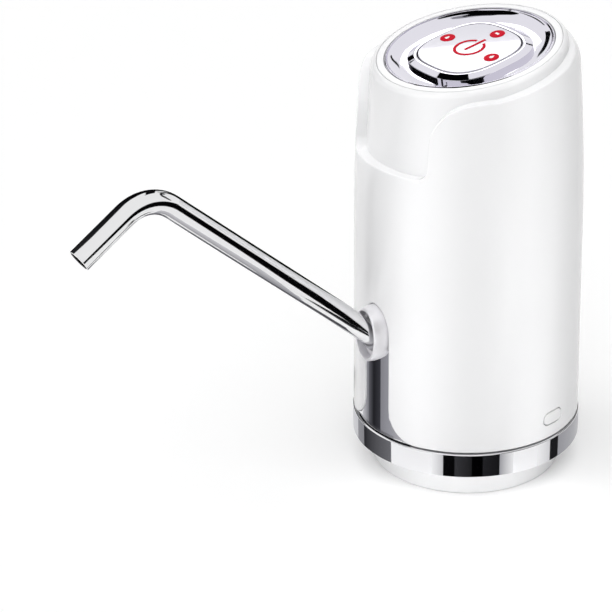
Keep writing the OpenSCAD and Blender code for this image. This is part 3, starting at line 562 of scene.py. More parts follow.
def finish_named(name):
    """A material with its node tree and its shader, or None for both where it is there already."""
    known = bpy.data.materials.get(name)
    if known:
        return known, None, None
    material = bpy.data.materials.new(name)
    material.use_nodes = True
    return material, material.node_tree, material.node_tree.nodes["Principled BSDF"]


def per_size(size):
    """Noise scale that gives patches of a real size."""
    return 1 / size


def clouded(name, light, dark, patch, rough, relief=0.0, grain=1 * MM, **sockets):
    """A material with soft patches of two close colours, an uneven gloss and a fine relief."""
    material, tree, shader = finish_named(name)
    if not tree:
        return material
    place = add(tree, "ShaderNodeTexCoord")
    cloud = add(tree, "ShaderNodeTexNoise", {"Scale": per_size(patch), "Detail": 3.0},
                {"Vector": (place, "Object")})
    tint = add(tree, "ShaderNodeMix", {"A": (*dark, 1), "B": (*light, 1)}, data_type="RGBA")
    tree.links.new(cloud.outputs["Fac"], tint.inputs["Factor"])
    gloss = add(tree, "ShaderNodeMapRange", {"To Min": rough[0], "To Max": rough[1]},
                {"Value": (cloud, "Fac")})
    tree.links.new(tint.outputs["Result"], shader.inputs["Base Color"])
    tree.links.new(gloss.outputs["Result"], shader.inputs["Roughness"])
    if relief:
        pores = add(tree, "ShaderNodeTexNoise", {"Scale": per_size(grain), "Detail": 2.0},
                    {"Vector": (place, "Object")})
        bump = add(tree, "ShaderNodeBump", {"Strength": relief, "Distance": PORE_DEPTH},
                   {"Height": (pores, "Fac")})
        tree.links.new(bump.outputs["Normal"], shader.inputs["Normal"])
    for socket, value in sockets.items():
        shader.inputs[socket.replace("_", " ")].default_value = value
    return material


def coloured(name, key, share, patch, rough, **more):
    """A clouded material in one of the panel's colours, whose patches are darker by a share."""
    colour = getattr(bpy.context.scene.pump_colours, key)
    return clouded(name, colour, [c * (1 - share) for c in colour], patch, rough, **more)


def gloss_abs():
    """Injection-moulded ABS with a polished face: a clear, slightly soft gloss over white."""
    return coloured("gloss_white_abs", "shell", 0.03, 30 * MM, (0.16, 0.24),
                    relief=0.02, grain=1.2 * MM, IOR=1.5)


def plated_chrome():
    """Chrome-plated ABS: a mirror that is a touch uneven where the plating follows the moulding."""
    return coloured("chrome_plating", "chrome", 0.05, 14 * MM, (0.03, 0.06), Metallic=1.0)


def violet_chrome():
    """Chrome with a violet cast, plated on the top's ABS: a mirror that tints what it shows."""
    return coloured("violet_chrome_plating", "dish", 0.04, 14 * MM, (0.03, 0.06), Metallic=1.0)


def spout_steel():
    """Drawn stainless tube, polished along its length: crisp long bands with a faint haze."""
    return coloured("polished_stainless", "steel", 0.06, 9 * MM, (0.05, 0.10), Metallic=1.0)


def pearl_chrome():
    """Pearl chrome on ABS: metal with a lavender cast and a blurred mirror."""
    return coloured("pearl_chrome", "socket", 0.06, 8 * MM, (0.30, 0.38),
                    relief=0.02, grain=0.8 * MM, Metallic=0.45)


def gloss_acrylic():
    """Cast acrylic face: deep polished white that mirrors the room."""
    return coloured("cast_acrylic", "panel", 0.02, 16 * MM, (0.05, 0.08),
                    IOR=1.49, Coat_Weight=1.0, Coat_Roughness=0.02)


def red_print():
    """Translucent red ink under lacquer: strong colour with a wet gloss."""
    return coloured("red_lacquer_print", "print", 0.2, 1.5 * MM, (0.30, 0.40),
                    Specular_IOR_Level=0.02)


def white_print():
    """White screen print: flat and opaque, with the mesh's slight unevenness."""
    return clouded("white_screen_print", srgb("#FFFFFF"), srgb("#F2F2F2"), 0.8 * MM, (0.35, 0.45))


def grey_silicone():
    """Moulded silicone: dull, soft grey that spreads the light."""
    return clouded("moulded_grey_silicone", srgb("#A7A6AC"), srgb("#98979D"), 4 * MM, (0.45, 0.60),
                   relief=0.1, grain=0.5 * MM, IOR=1.41)


def white_silicone():
    """Moulded white silicone: satin, a shade warmer than the casing."""
    return clouded("moulded_white_silicone", srgb("#F4F4F4"), srgb("#EBEBEB"), 5 * MM, (0.32, 0.42),
                   relief=0.06, grain=0.5 * MM, IOR=1.41)


class JUGPUMP_OT_base(bpy.types.Operator):
    """Turns the bottle collar and the chrome band round it"""
    bl_idname = "jug_pump.base"
    bl_label = "Collar and chrome band"

    def execute(self, context):
        sizes = context.scene.pump_sizes
        collar_top = COLLAR_HIGH.z
        flange_z = RING_LOW.z + RING_LIP
        seal_r, seal_z = CROWN_R + SEAL_STEP, collar_top - SEAL_DEPTH
        collar = turned("collar_moulding", rounded([
            (CROWN_R, 0, CROWN_EDGE), (COLLAR_R, 0, COLLAR_EDGE), (COLLAR_R, flange_z, 0),
            (FLANGE_R, flange_z, 0), (FLANGE_R, collar_top, 0.3 * MM),
            (seal_r, collar_top, 0), (seal_r, seal_z, 0), (CROWN_R, seal_z, 0)]))
        dressed(collar, gloss_abs(), "white_abs", "housing", "bottle_collar")
        lip_r = COLLAR_R + FIT_GAP
        band = turned("chrome_band", rounded([
            (lip_r, RING_LOW.z, 0.2 * MM), (RING_R, RING_LOW.z, 0.35 * MM),
            (RING_R, RING_HIGH.z, sizes.band_edge), (RING_R - RING_WALL, RING_HIGH.z, 0.2 * MM),
            (RING_R - RING_WALL, flange_z, 0), (lip_r, flange_z, 0)]))
        dressed(band, plated_chrome(), "chrome_plate", "housing", "base_ring")
        return {"FINISHED"}


def strip_side(half, low, turn):
    """Right side of the strip, which flares out towards its foot."""
    return [(half + STRIP_FLARE_W * (1 - cos(a)), low + STRIP_FLARE_H * (1 - sin(a)))
            for a in sweep(0, turn, 14)]


def casing_outline():
    """Outline of the casing in arc and height: socket, strip, foot, back, sloped edge and notch."""
    half = STRIP_HALF + STRIP_GAP
    oval_h = SOCKET_H + STRIP_GAP
    flare_x = wall_r(TOP_Z - CAP_RISE) - CAP_STEP + FLARE_REACH
    flare_w = flare_x - NOTCH_HALF
    flare_z = NOTCH_FOOT + FLARE_UP
    flare_turn = asin(flare_x / wall_r(TOP_Z - CAP_RISE))
    flare_h = edge_z(flare_turn) - flare_z
    oval = [(half * sin(a), SOCKET_Z + oval_h * cos(a)) for a in sweep(0, pi / 2, 12)]
    foot = strip_side(half, FOOT_LOW, pi / 2)
    corner = [(NOTCH_HALF - NOTCH_CORNER * (1 - cos(a)),
               NOTCH_FOOT + NOTCH_CORNER * (1 + sin(a))) for a in sweep(0, -pi / 2, 8)]
    flare = [(flare_x - flare_w * cos(a), flare_z + flare_h * sin(a))
             for a in sweep(pi / 2, 0, 14)]
    right = [(arc_place(x, z), z) for x, z in oval + foot]
    right += [(pi * BASE_R, FOOT_LOW)]
    right += [(a * BASE_R, edge_z(a)) for a in sweep(pi, flare_turn, 40)[:-1]]
    right += [(arc_place(x, z), z) for x, z in flare + corner] + [(0, NOTCH_FOOT)]
    return right + [(-s, z) for s, z in reversed(right[1:-1])]


def slot_outline(w, h, centre):
    """Outline of a slot with round ends."""
    ends = [(side * (w - h) / 2 + h / 2 * cos(a), h / 2 * sin(a))
            for side, start in ((1, -0.5), (-1, 0.5))
            for a in sweep(start * pi, (start + 1) * pi, 16)]
    return [(centre[0] + x, centre[1] + y) for x, y in ends]


class JUGPUMP_OT_casing(bpy.types.Operator):
    """Cuts the casing with its notch, strip slot and port, lays it round and sets the flap"""
    bl_idname = "jug_pump.casing"
    bl_label = "Casing"

    def execute(self, context):
        sizes = context.scene.pump_sizes
        back = pi * BASE_R
        port = (PORT_TURN * BASE_R, PORT_Z)
        casing = flat_slab("casing_moulding", casing_outline(), CASING_T)

        def at_back(part):
            """True for an edge or a face on the slab's two ends, which meet at the back."""
            return all(abs(abs(v.co.x) - back) < NEAR for v in part.verts)

        bevel_front(casing, sizes.casing_edge, keep=at_back)
        edit(False)
        for w, h, depth in ((FLAP_W + 2 * FLAP_GAP, FLAP_H + 2 * FLAP_GAP, FLAP_T + FLAP_GAP),
                            (PORT_W, PORT_H, 2 * CASING_T)):
            cutter = flat_slab("port_cutter", slot_outline(w, h, port), depth + CASING_T)
            edit(False)
            cutter.data.transform(Matrix.Translation((0, 0, CASING_T)))
            cut_away(casing, cutter)
        edit(True)
        bevel_front(casing, PORT_EDGE, steps=2,
                    keep=lambda e: (e.verts[0].co.xy - Vector(port)).length > FLAP_W)
        mesh = bmesh.from_edit_mesh(casing.data)
        bmesh.ops.delete(mesh, geom=[f for f in mesh.faces if at_back(f)], context="FACES_ONLY")
        bmesh.update_edit_mesh(casing.data)
        levels = sweep(FOOT_Z, SHOULDER_Z, 26)[1:]
        levels += sweep(SHOULDER_Z, SHOULDER_Z + SHOULDER_RISE, 8)[1:]
        wrap_round(casing, sweep(-back, back, 120)[1:-1], levels)
        dressed(casing, gloss_abs(), "white_abs", "housing", "outer_casing")

        flap = flat_slab("port_flap", slot_outline(FLAP_W, FLAP_H, port), FLAP_T)
        bevel_front(flap, FLAP_EDGE)
        wrap_round(flap, sweep(port[0] - FLAP_W / 2, port[0] + FLAP_W / 2, 10)[1:-1], [])
        dressed(flap, white_silicone(), "white_silicone", "flap", "charge_flap")
        return {"FINISHED"}


class JUGPUMP_OT_strip(bpy.types.Operator):
    """Lays the chrome strip with its flared foot under the spout's socket"""
    bl_idname = "jug_pump.strip"
    bl_label = "Chrome strip"

    def execute(self, context):
        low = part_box("front_trim")[0].z
        side = strip_side(STRIP_HALF, low, STRIP_SWEEP)
        right = [(STRIP_HALF, STRIP_TOP)] + side + [(side[-1][0], low)]
        right = [(arc_place(x, z), z) for x, z in right]
        strip = flat_slab("chrome_strip", right + [(-s, z) for s, z in reversed(right)], STRIP_T)
        bevel_front(strip, STRIP_EDGE, steps=3)
        wrap_round(strip, sweep(-STRIP_REACH, STRIP_REACH, 36)[1:-1],
                   sweep(low, STRIP_TOP, 10)[1:-1], inset=STRIP_INSET)
        dressed(strip, plated_chrome(), "chrome_plate", "housing", "front_trim")
        return {"FINISHED"}


class JUGPUMP_OT_cap(bpy.types.Operator):
    """Raises the cap that fills the notch, rounds its sloped rim, and sets the white top ring"""
    bl_idname = "jug_pump.cap"
    bl_label = "Cap and top ring"

    def execute(self, context):
        sizes = context.scene.pump_sizes
        wall = sweep(0, 1, 12)
        bend = sweep(0, pi / 2, 8)[1:]
        rim = RIM_R - RUN_GAP
        bore = DISH_R + FIT_GAP
        seat = [(rim, -RING_SEAT), (bore, -RING_SEAT), (bore, -CAP_BORE)]
        count = len(wall) + len(bend) + len(seat) + 1

        def wall_point(turn, share):
            """Point of the cap's face from its level foot to its sloped shoulder."""
            z = CAP_FOOT
            for _ in range(5):
                sloped = slope_z(-cap_r(z) * cos(turn), -RIM_ROUND)
                z = CAP_FOOT + (sloped - CAP_FOOT) * share
            return spot_at(turn, cap_r(z), z)

        def cap_point(turn, k):
            """Point of the cap at a turn, on its k-th ring from the foot."""
            if k < len(wall):
                return wall_point(turn, wall[k])
            k -= len(wall)
            if k < len(bend):
                edge = TOP @ (heading(turn) * rim)
                hub = TOP @ spot_at(turn, rim, -RIM_ROUND)
                side = wall_point(turn, 1)
                return hub + (side - hub) * cos(bend[k]) + (edge - hub) * sin(bend[k])
            k -= len(bend)
            if k < len(seat):
                return TOP @ spot_at(turn, *seat[k])
            return spot_at(turn, cap_r(CAP_FOOT) - CAP_T, CAP_FOOT)

        cap = turned("cap_moulding", [(1, k) for k in range(count)])
        for vert in cap.data.vertices:
            turn = atan2(vert.co.x, -vert.co.y)
            vert.co = cap_point(turn, round(vert.co.z))
        edit(True)
        settled(cap, 35)
        dressed(cap, gloss_abs(), "white_abs", "housing", "top_cap")

        inner, outer = DISH_R + 0.1 * MM, rim - 0.05 * MM
        ring = turned("top_ring_moulding", rounded([
            (inner, -RING_SEAT, 0), (outer, -RING_SEAT, 0), (outer, 0, sizes.seam),
            (inner, 0, sizes.seam)]), TOP)
        dressed(ring, gloss_abs(), "white_abs", "housing", "top_ring")
        return {"FINISHED"}


class JUGPUMP_OT_dish(bpy.types.Operator):
    """Turns the chrome dish and the soft-square frame in it"""
    bl_idname = "jug_pump.dish"
    bl_label = "Chrome dish and frame"

    def execute(self, context):
        sizes = context.scene.pump_sizes
        floor_r = DISH_FLOOR * FRAME_HALF
        bowl_w = DISH_R - DISH_LIP - floor_r
        bowl = [Vector((DISH_R - DISH_LIP - bowl_w * (1 - cos(a)), -DISH_DEPTH * sin(a)))
                for a in sweep(0, pi / 2, 16)]
        hidden_r = FRAME_HALF - DISH_TUCK
        low = -DISH_DEPTH - DISH_WALL
        outside = rounded([(hidden_r, low, 0), (DISH_R, low, 0), (DISH_R, 0, DISH_LIP - 0.05 * MM),
                           (DISH_R - DISH_LIP, 0, 0)])[:-1]
        dish = turned("chrome_dish_bowl", outside + bowl + [Vector((hidden_r, -DISH_DEPTH))], TOP)
        dressed(dish, violet_chrome(), "chrome_plate", "housing", "chrome_dish")

        opening = FRAME_HALF - FRAME_W
        rim = turned("button_bezel", rounded([
            (FRAME_HALF, low, 0), (FRAME_HALF, FRAME_TOP - FRAME_SLOPE_H, sizes.seam),
            (FRAME_HALF - FRAME_SLOPE_W, FRAME_TOP, 0.5 * MM), (opening, FRAME_TOP, sizes.seam),
            (opening, low, 0)]), TOP, soft=FRAME_POWER)
        dressed(rim, violet_chrome(), "chrome_plate", "housing", "button_frame")
        return {"FINISHED"}


def raised(name, outline, height, place, edge):
    """Print or icon of a given height that stands on a plane, with its upper edges rounded."""
    piece = flat_slab(name, outline, height)
    bevel_front(piece, edge, steps=2)
    return settled(piece, 30, place @ Matrix.Translation((0, 0, height)))


def arc_outline(r_out, r_in, gap):
    """Outline of a ring that is open at the back by a gap on each side."""
    outer = [(r_out * sin(a), r_out * cos(a)) for a in sweep(gap, 2 * pi - gap, 56)]
    inner = [(r_in * sin(a), r_in * cos(a)) for a in sweep(2 * pi - gap, gap, 56)]
    return outer + inner


def drop_outline(r):
    """Outline of a water drop that points to the back."""
    tip = 1.9 * r
    side = asin(r / tip)
    return [(0, tip)] + [(r * cos(a), r * sin(a)) for a in sweep(side, -pi - side, 18)]


class JUGPUMP_OT_button(bpy.types.Operator):
    """Makes the acrylic button with its power symbol and three indicators"""
    bl_idname = "jug_pump.button"
    bl_label = "Button"

    def execute(self, context):
        face = TOP @ Matrix.Translation((0, 0, PANEL_TOP))
        panel = turned("button_face", rounded([
            (PANEL_HALF / 8, -PANEL_T, 0), (PANEL_HALF, -PANEL_T, 0.2 * MM),
            (PANEL_HALF, 0, 0.2 * MM), (PANEL_HALF / 8, 0, 0)]),
            face, closed=False, soft=FRAME_POWER)
        dressed(panel, gloss_acrylic(), "white_acrylic", "button", "button_panel")

        half, low, high = SYMBOL_W / 2, -0.35 * SYMBOL_R, 1.25 * SYMBOL_R
        bar = [(-half, low), (half, low), (half, high), (-half, high)]
        ring = raised("power_ring", arc_outline(SYMBOL_R, SYMBOL_R - SYMBOL_W, SYMBOL_GAP),
                      PRINT_T, face, PRINT_EDGE)
        line = raised("power_bar", bar, PRINT_T, face, PRINT_EDGE)
        dressed(ring, red_print(), "red_print", "button", "power_symbol")
        dressed(line, red_print(), "red_print", "button")

        lock = [(-0.5, -0.75), (0.5, -0.75), (0.5, 0.05), (0.34, 0.05), (0.34, 0.42), (0.17, 0.62),
                (-0.17, 0.62), (-0.34, 0.42), (-0.34, 0.05), (-0.5, 0.05)]
        cell = [(-0.75, -0.35), (0.6, -0.35), (0.6, -0.15), (0.75, -0.15), (0.75, 0.15),
                (0.6, 0.15), (0.6, 0.35), (-0.75, 0.35)]
        signs = {
            "lock": (pi, [(SIGN * x, SIGN * y) for x, y in lock]),
            "charge": (pi / 2, [(SIGN * x, SIGN * y) for x, y in cell]),
            "water": (0, drop_outline(DROP_R)),
        }
        for name, (turn, outline) in signs.items():
            spot = face @ Matrix.Translation(
                (LENS_OUT * cos(turn), LENS_OUT * sin(turn), 0))
            lens = turned("indicator_" + name, rounded([
                (LENS_R / 8, -LENS_T, 0), (LENS_R, -LENS_T, 0), (LENS_R, PRINT_T, 0.1 * MM),
                (LENS_R / 8, PRINT_T, 0)]), spot, closed=False)
            nodes = ["indicator_lenses"] if turn == 0 else []
            dressed(lens, red_print(), "red_print", "button", *nodes)
            sign = raised("sign_" + name, outline, SIGN_T,
                          spot @ Matrix.Translation((0, 0, PRINT_T)), SIGN_EDGE)
            dressed(sign, white_print(), "white_acrylic", "button")
        return {"FINISHED"}


class JUGPUMP_OT_spout(bpy.types.Operator):
    """Draws the bent steel spout, its sleeve and the oval socket that it swivels in"""
    bl_idname = "jug_pump.spout"
    bl_label = "Spout and socket"

    def execute(self, context):
        sizes = context.scene.pump_sizes
        cut = SPOUT_BEND * tan(SPOUT_TURN / 2)
        straight = SPOUT_LONG - cut
        out = Vector((0, -sin(SPOUT_TURN), cos(SPOUT_TURN)))
        deselect()
        bpy.ops.mesh.primitive_circle_add(vertices=64, radius=SPOUT_R)
        tube = started("spout_pipe")
        bpy.ops.transform.translate(value=(0, 0, -SPOUT_SEAT))
        for _ in range(10):
            bpy.ops.mesh.extrude_edges_move(
                TRANSFORM_OT_translate={"value": (0, 0, (SPOUT_SEAT + straight) / 10)})
        bpy.ops.mesh.spin(steps=24, angle=-SPOUT_TURN, center=(0, -SPOUT_BEND, straight),
                          axis=(1, 0, 0))
        bpy.ops.mesh.extrude_edges_move(TRANSFORM_OT_translate={"value": out * (SPOUT_SHORT - cut)})
        settled(tube, 40)
        apply_modifier(tube, "SOLIDIFY", thickness=SPOUT_WALL, offset=-1)
        mouth = Vector((0, -SPOUT_BEND, straight)) + Matrix.Rotation(SPOUT_TURN, 3, "X") @ Vector(
            (0, SPOUT_BEND, SPOUT_SHORT - cut))
        edit(True)
        pick_edges(tube, lambda e: all(abs((v.co - mouth).dot(out)) < NEAR for v in e.verts)
                   and e.calc_face_angle(0) > SHARP)
        bpy.ops.mesh.bevel(offset=sizes.mouth_edge, segments=2, affect="EDGES")
        settled(tube, 40, SPOUT)
        dressed(tube, spout_steel(), "stainless_tube", "spout", "spout_tube")

        bore = SPOUT_R + RUN_GAP
        sleeve = turned("spout_sleeve_ring", rounded([
            (bore, -SPOUT_SEAT, 0), (SLEEVE_R, -SPOUT_SEAT, 0), (SLEEVE_R, SLEEVE_OUT, 0.35 * MM),
            (bore, SLEEVE_OUT, 0.2 * MM)]), SPOUT)
        dressed(sleeve, grey_silicone(), "grey_silicone", "spout_swivel", "spout_sleeve")

        inner = SOCKET_W - SOCKET_RIM
        deep = SOCKET_REACH - SOCKET_RECESS
        socket = turned("spout_socket_cup", rounded([
            (inner / 3, -SOCKET_ROOT, 0), (SOCKET_W, -SOCKET_ROOT, 0),
            (SOCKET_W, 0.4 * SOCKET_REACH, 0), (SOCKET_W - 0.16 * MM, 0.6 * SOCKET_REACH, 0),
            (SOCKET_W - 0.5 * MM, SOCKET_REACH, 0.6 * MM), (inner, SOCKET_REACH, 0.3 * MM),
            (inner - 0.4 * MM, deep, 0.5 * MM), (inner / 3, deep, 0)], arc=6),
            SOCKET, closed=False, oval=SOCKET_H - SOCKET_W)
        deselect()
        bpy.ops.mesh.primitive_cylinder_add(vertices=96, radius=SLEEVE_R + RUN_GAP, depth=40 * MM)
        drill = bpy.context.object
        drill.data.transform(SPOUT)
        cut_away(socket, drill)
        bpy.ops.object.shade_smooth_by_angle(angle=radians(40))
        dressed(socket, pearl_chrome(), "satin_chrome", "housing", "spout_socket")
        return {"FINISHED"}


INNER_FINISHES = {
    # Solder mask over copper: dark green with a shallow gloss
    "solder_mask_green": (("control_board", "charge_board"),
                          "#1E6B41", "#14512F", 3, (0.30, 0.45), 0),
    # Moulded black ABS: near black and half matt
    "moulded_black_abs": (("switch_body", "switch_plunger", "motor_endcap", "battery_cradle"),
                          "#242427", "#18181A", 6, (0.40, 0.55), 0),
    # Zinc-plated steel: pale grey with a blurred shine
    "zinc_plated_steel": (("base_screws", "board_screws", "pump_screws", "usb_socket", "idler_pin",
                           "motor_can", "motor_shaft"), "#C9CACD", "#AEB0B4", 5, (0.22, 0.38), 1),
    # Natural nylon: cream and waxy
    "natural_nylon": (("drive_gear", "idler_gear"), "#EDE6CF", "#DED5B9", 4, (0.35, 0.48), 0),
    # Grey moulded plastic of the pump: plain and dull
    "moulded_grey_pom": (("pump_housing", "pump_cover"), "#C4C6CA", "#B3B5BA", 8, (0.38, 0.52), 0),
    # Grey silicone of the seals: soft and dull
    "seal_silicone": (("neck_seal", "pump_gasket", "shaft_seal"),
                      "#9C9CA1", "#8B8B90", 4, (0.5, 0.6), 0),
    # Translucent silicone hose: milky white
    "milky_silicone": (("outlet_hose",), "#EDEDEA", "#DDDDD8", 5, (0.35, 0.45), 0),
    # Sintered ferrite: dark grey with a fine grit
    "sintered_ferrite": (("motor_magnets",), "#3B3B3E", "#29292B", 2, (0.55, 0.70), 0),
    # Lacquered copper windings: brown with a warm shine
    "lacquered_windings": (("motor_armature",), "#9A5A2C", "#6E3C1B", 2, (0.30, 0.45), 1),
    # Turned brass bushes: yellow metal
    "turned_brass": (("motor_bushes",), "#D9B667", "#BE9748", 3, (0.22, 0.34), 1),
    # Heat-shrunk wrap of the cell: blue film over metal
    "shrink_wrap_blue": (("battery_cell",), "#2F5FB3", "#234A93", 12, (0.25, 0.35), 0),
    # Wire insulation: red and satin
    "pvc_insulation_red": (("wiring",), "#B5202A", "#8F161F", 3, (0.35, 0.45), 0),
    # White lens of a small light: clear and bright
    "led_epoxy": (("indicator_leds",), "#F2F2EC", "#E2E2DA", 2, (0.12, 0.2), 0),
    # White ABS of the base plate, not polished
    "satin_white_abs": (("base_plate",), "#EEEEEF", "#E4E4E6", 12, (0.35, 0.45), 0),
}


class JUGPUMP_OT_inner(bpy.types.Operator):
    """Gives the parts inside the casing their finishes"""
    bl_idname = "jug_pump.inner"
    bl_label = "Inner parts"

    def execute(self, context):
        for name, (nodes, light, dark, patch, rough, metal) in INNER_FINISHES.items():
            finish = clouded(name, srgb(light), srgb(dark), patch * MM, rough, relief=0.05,
                             grain=0.6 * MM, Metallic=metal)
            for node in nodes:
                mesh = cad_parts[node].data
                mesh.materials.clear()
                mesh.materials.append(finish)
        return {"FINISHED"}


# Stage

def camera_matrix():
    """Place and turn of the photograph's camera."""
    back = spot_at(CAMERA_TURN, cos(CAMERA_RISE), sin(CAMERA_RISE))
    level = Vector((cos(CAMERA_TURN), sin(CAMERA_TURN), 0))
    right = Matrix.Rotation(CAMERA_ROLL, 3, back) @ level
    up = back.cross(right)
    scale = CAMERA_DISTANCE / CAMERA_FOCAL_PX
    across = (AIM_PX[0] - PICTURE / 2) * scale
    above = (PICTURE / 2 - AIM_PX[1]) * scale
    place = AIM + back * CAMERA_DISTANCE - right * across - up * above
    return Matrix.Translation(place) @ Matrix((right, up, back)).transposed().to_4x4()


def mirrored_spot(turn, r, z):
    """Place on the floor that a round mirror shows to the camera at a turn and a height."""
    normal = heading(radians(turn))
    spot = normal * r + Vector((0, 0, z))
    ray = (spot - camera_matrix().translation).reflect(normal)
    return spot - ray * (spot.z / ray.z) + Vector((0, 0, BAND_LIFT))


def toward(turn, rise, reach):
    """Place at a turn and a rise in degrees, seen from the dish."""
    turn, rise = radians(turn), radians(rise)
    return Vector((0, 0, TOP_Z)) + reach * spot_at(turn, cos(rise), sin(rise))


def seen_ray(tree):
    """Output that is 1 for a ray from the camera or a mirror, and 0 for one that lights a face."""
    path = add(tree, "ShaderNodeLightPath")
    either = add(tree, "ShaderNodeMath", None,
                 {0: (path, "Is Camera Ray"), 1: (path, "Is Glossy Ray")},
                 operation="ADD", use_clamp=True)
    return either, "Value"


def card_paper():
    """Studio card that glows evenly in a plain shade from column to column, clear from its front."""
    material, tree, shader = finish_named("studio_card")
    if tree:
        tree.nodes.remove(shader)
        shade = add(tree, "ShaderNodeAttribute", attribute_name="shade")
        glow = add(tree, "ShaderNodeEmission", None, {"Color": (shade, "Color")})
        clear = add(tree, "ShaderNodeBsdfTransparent")
        back = add(tree, "ShaderNodeNewGeometry")
        side = add(tree, "ShaderNodeMixShader", None, {0: (back, "Backfacing"), 1: (clear, "BSDF"),
                                                       2: (glow, "Emission")})
        tree.links.new(side.outputs["Shader"], tree.nodes["Material Output"].inputs["Surface"])
    return material


def studio_card(name, columns, shades, power=1.0):
    """Card through columns of places that only mirrors show, like a studio's flags."""
    rows = len(columns[0]) - 1
    deselect()
    bpy.ops.mesh.primitive_grid_add(x_subdivisions=len(columns) - 1, y_subdivisions=rows, size=2)
    card = bpy.context.object
    card.name = "card_" + name
    shade = card.data.attributes.new("shade", "FLOAT_COLOR", "POINT")
    for vert, value in zip(card.data.vertices, shade.data):
        i = round((vert.co.x + 1) / 2 * (len(columns) - 1))
        value.color = (*(power * c for c in shades[i]), 1)
        vert.co = columns[i][round((vert.co.y + 1) / 2 * rows)]
    card.data.materials.append(card_paper())
    card.visible_camera = card.visible_diffuse = card.visible_shadow = False
    card.visible_transmission = False


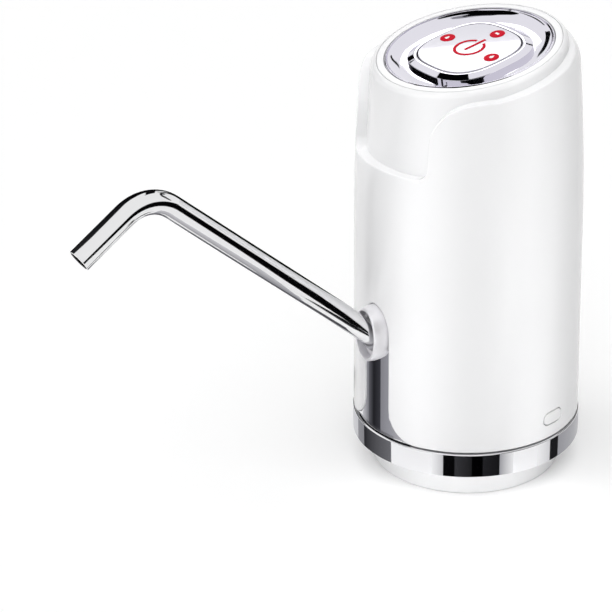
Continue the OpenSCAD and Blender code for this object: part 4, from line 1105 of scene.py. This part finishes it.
class JUGPUMP_OT_stage(bpy.types.Operator):
    """Sets the pale floor, the soft light, the studio cards and the camera"""
    bl_idname = "jug_pump.stage"
    bl_label = "Stage"

    def execute(self, context):
        scene = context.scene
        scene.view_settings.view_transform = "Standard"
        self.make_floor(scene.pump_colours.floor)
        self.make_light(scene)
        self.make_cards()
        self.make_camera(scene)
        return {"FINISHED"}

    def make_floor(self, colour):
        deselect()
        bpy.ops.mesh.primitive_plane_add(size=8, location=(0, 0, -0.1 * MM))
        floor = bpy.context.object
        floor.name = "studio_floor"
        # Seamless paper: flat, pale and without gloss, a little lifted where it is seen
        material, tree, shader = finish_named("seamless_paper")
        shader.inputs["Base Color"].default_value = (*colour, 1)
        shader.inputs["Roughness"].default_value = 1.0
        shader.inputs["Specular IOR Level"].default_value = 0.0
        shader.inputs["Emission Color"].default_value = (1, 1, 1, 1)
        lift = add(tree, "ShaderNodeMapRange", {"To Min": 0.0, "To Max": FLOOR_LIFT},
                   {"Value": seen_ray(tree)})
        tree.links.new(lift.outputs["Result"], shader.inputs["Emission Strength"])
        floor.data.materials.append(material)

    def make_light(self, scene):
        world = bpy.data.worlds.new("studio_dome")
        scene.world = world
        world.use_nodes = True
        tree = world.node_tree
        level = add(tree, "ShaderNodeMapRange", {"To Min": DOME, "To Max": 1.0},
                    {"Value": seen_ray(tree)})
        ground = tree.nodes["Background"]
        ground.inputs["Color"].default_value = (1, 1, 1, 1)
        tree.links.new(level.outputs["Result"], ground.inputs["Strength"])
        for name, turn, rise, angle, energy in SUNS:
            bpy.ops.object.light_add(type="SUN")
            lamp = bpy.context.object
            lamp.data.energy = energy
            lamp.data.angle = radians(angle)
            self.set_lamp(lamp, name, toward(turn, rise, 1) - toward(0, 0, 0))
        for name, turn, rise, spread, reach, z, width, length, energy in STRIP_LIGHTS:
            side = spot_at(radians(turn), reach, z)
            bpy.ops.object.light_add(type="AREA", location=side * MM)
            lamp = bpy.context.object
            lamp.data.shape = "RECTANGLE"
            lamp.data.size, lamp.data.size_y = width * MM, length * MM
            lamp.data.energy = energy
            lamp.data.spread = radians(spread)
            self.set_lamp(lamp, name, toward(turn, rise, 1) - toward(0, 0, 0))

    def set_lamp(self, lamp, name, back):
        lamp.name = name
        lamp.visible_camera = lamp.visible_glossy = lamp.visible_transmission = False
        lamp.rotation_mode = "QUATERNION"
        lamp.rotation_quaternion = back.to_track_quat("Z", "Y")

    def make_cards(self):
        strip_r = RING_R - 0.9 * MM
        strip_low = RING_HIGH.z + 0.3 * MM
        for bands, r, low, high in ((RING_BANDS, RING_R, RING_LOW.z - 2 * MM, RING_HIGH.z + 1 * MM),
                                    (STRIP_BANDS, strip_r, strip_low, STRIP_TOP + 2 * MM),
                                    (FOOT_BANDS, strip_r, strip_low, strip_low + STRIP_FLARE_H)):
            for i, (start, end, first, last) in enumerate(bands):
                columns = [[mirrored_spot(turn, r, z) for z in (low, high)]
                           for turn in sweep(start, end, BAND_STEPS)]
                shades = [Vector(srgb(first)).lerp(Vector(srgb(last)), share)
                          for share in sweep(0, 1, BAND_STEPS)]
                studio_card("band_%d_%d" % (high / MM, i), columns, shades)
        # A short place takes the floor's height, and a short column the card's shade
        for name, (shade, *card) in SPOUT_CARDS.items():
            columns = [[Vector((*place, FLOOR_CARD)[:3]) * MM for place in column[:2]]
                       for column in card]
            studio_card("spout_" + name, columns, [srgb((*column, shade)[2]) for column in card])
        for name, (reach, power, shade, card) in DISH_CARDS.items():
            columns = [[toward(turn, rise, reach) for rise in sweep(low, high, BAND_STEPS)]
                       for turn, low, high, *own in card]
            shades = [srgb((*column, shade)[3]) for column in card]
            studio_card("dish_" + name, columns, shades, power)

    def make_camera(self, scene):
        data = bpy.data.cameras.new("photo_camera")
        camera = bpy.data.objects.new("photo_camera", data)
        scene.collection.objects.link(camera)
        data.sensor_width = 36
        data.lens = data.sensor_width * CAMERA_FOCAL_PX / PICTURE
        data.clip_start, data.clip_end = 0.01, 20
        camera.matrix_world = camera_matrix()
        scene.camera = camera


STEPS = (JUGPUMP_OT_base, JUGPUMP_OT_casing, JUGPUMP_OT_strip, JUGPUMP_OT_cap, JUGPUMP_OT_dish,
         JUGPUMP_OT_button, JUGPUMP_OT_spout, JUGPUMP_OT_inner, JUGPUMP_OT_stage)


class JUGPUMP_PT_panel(bpy.types.Panel):
    """Lists the steps that dress the pump"""
    bl_idname = "JUGPUMP_PT_panel"
    bl_label = "Jug pump"
    bl_space_type = "VIEW_3D"
    bl_region_type = "UI"
    bl_category = "Jug pump"

    def draw(self, context):
        for group in (context.scene.pump_sizes, context.scene.pump_colours):
            for key in group.__annotations__:
                self.layout.prop(group, key)
        for step in STEPS:
            self.layout.operator(step.bl_idname)


CLASSES = (PumpSizes, PumpColours, *STEPS, JUGPUMP_PT_panel)


def register():
    for cls in CLASSES:
        bpy.utils.register_class(cls)
    bpy.types.Scene.pump_sizes = bpy.props.PointerProperty(type=PumpSizes)
    bpy.types.Scene.pump_colours = bpy.props.PointerProperty(type=PumpColours)


def unregister():
    del bpy.types.Scene.pump_colours
    del bpy.types.Scene.pump_sizes
    for cls in reversed(CLASSES):
        bpy.utils.unregister_class(cls)


def main():
    register()
    for step in STEPS:
        group, name = step.bl_idname.split(".")
        getattr(getattr(bpy.ops, group), name)()


if __name__ == "__main__":
    main()
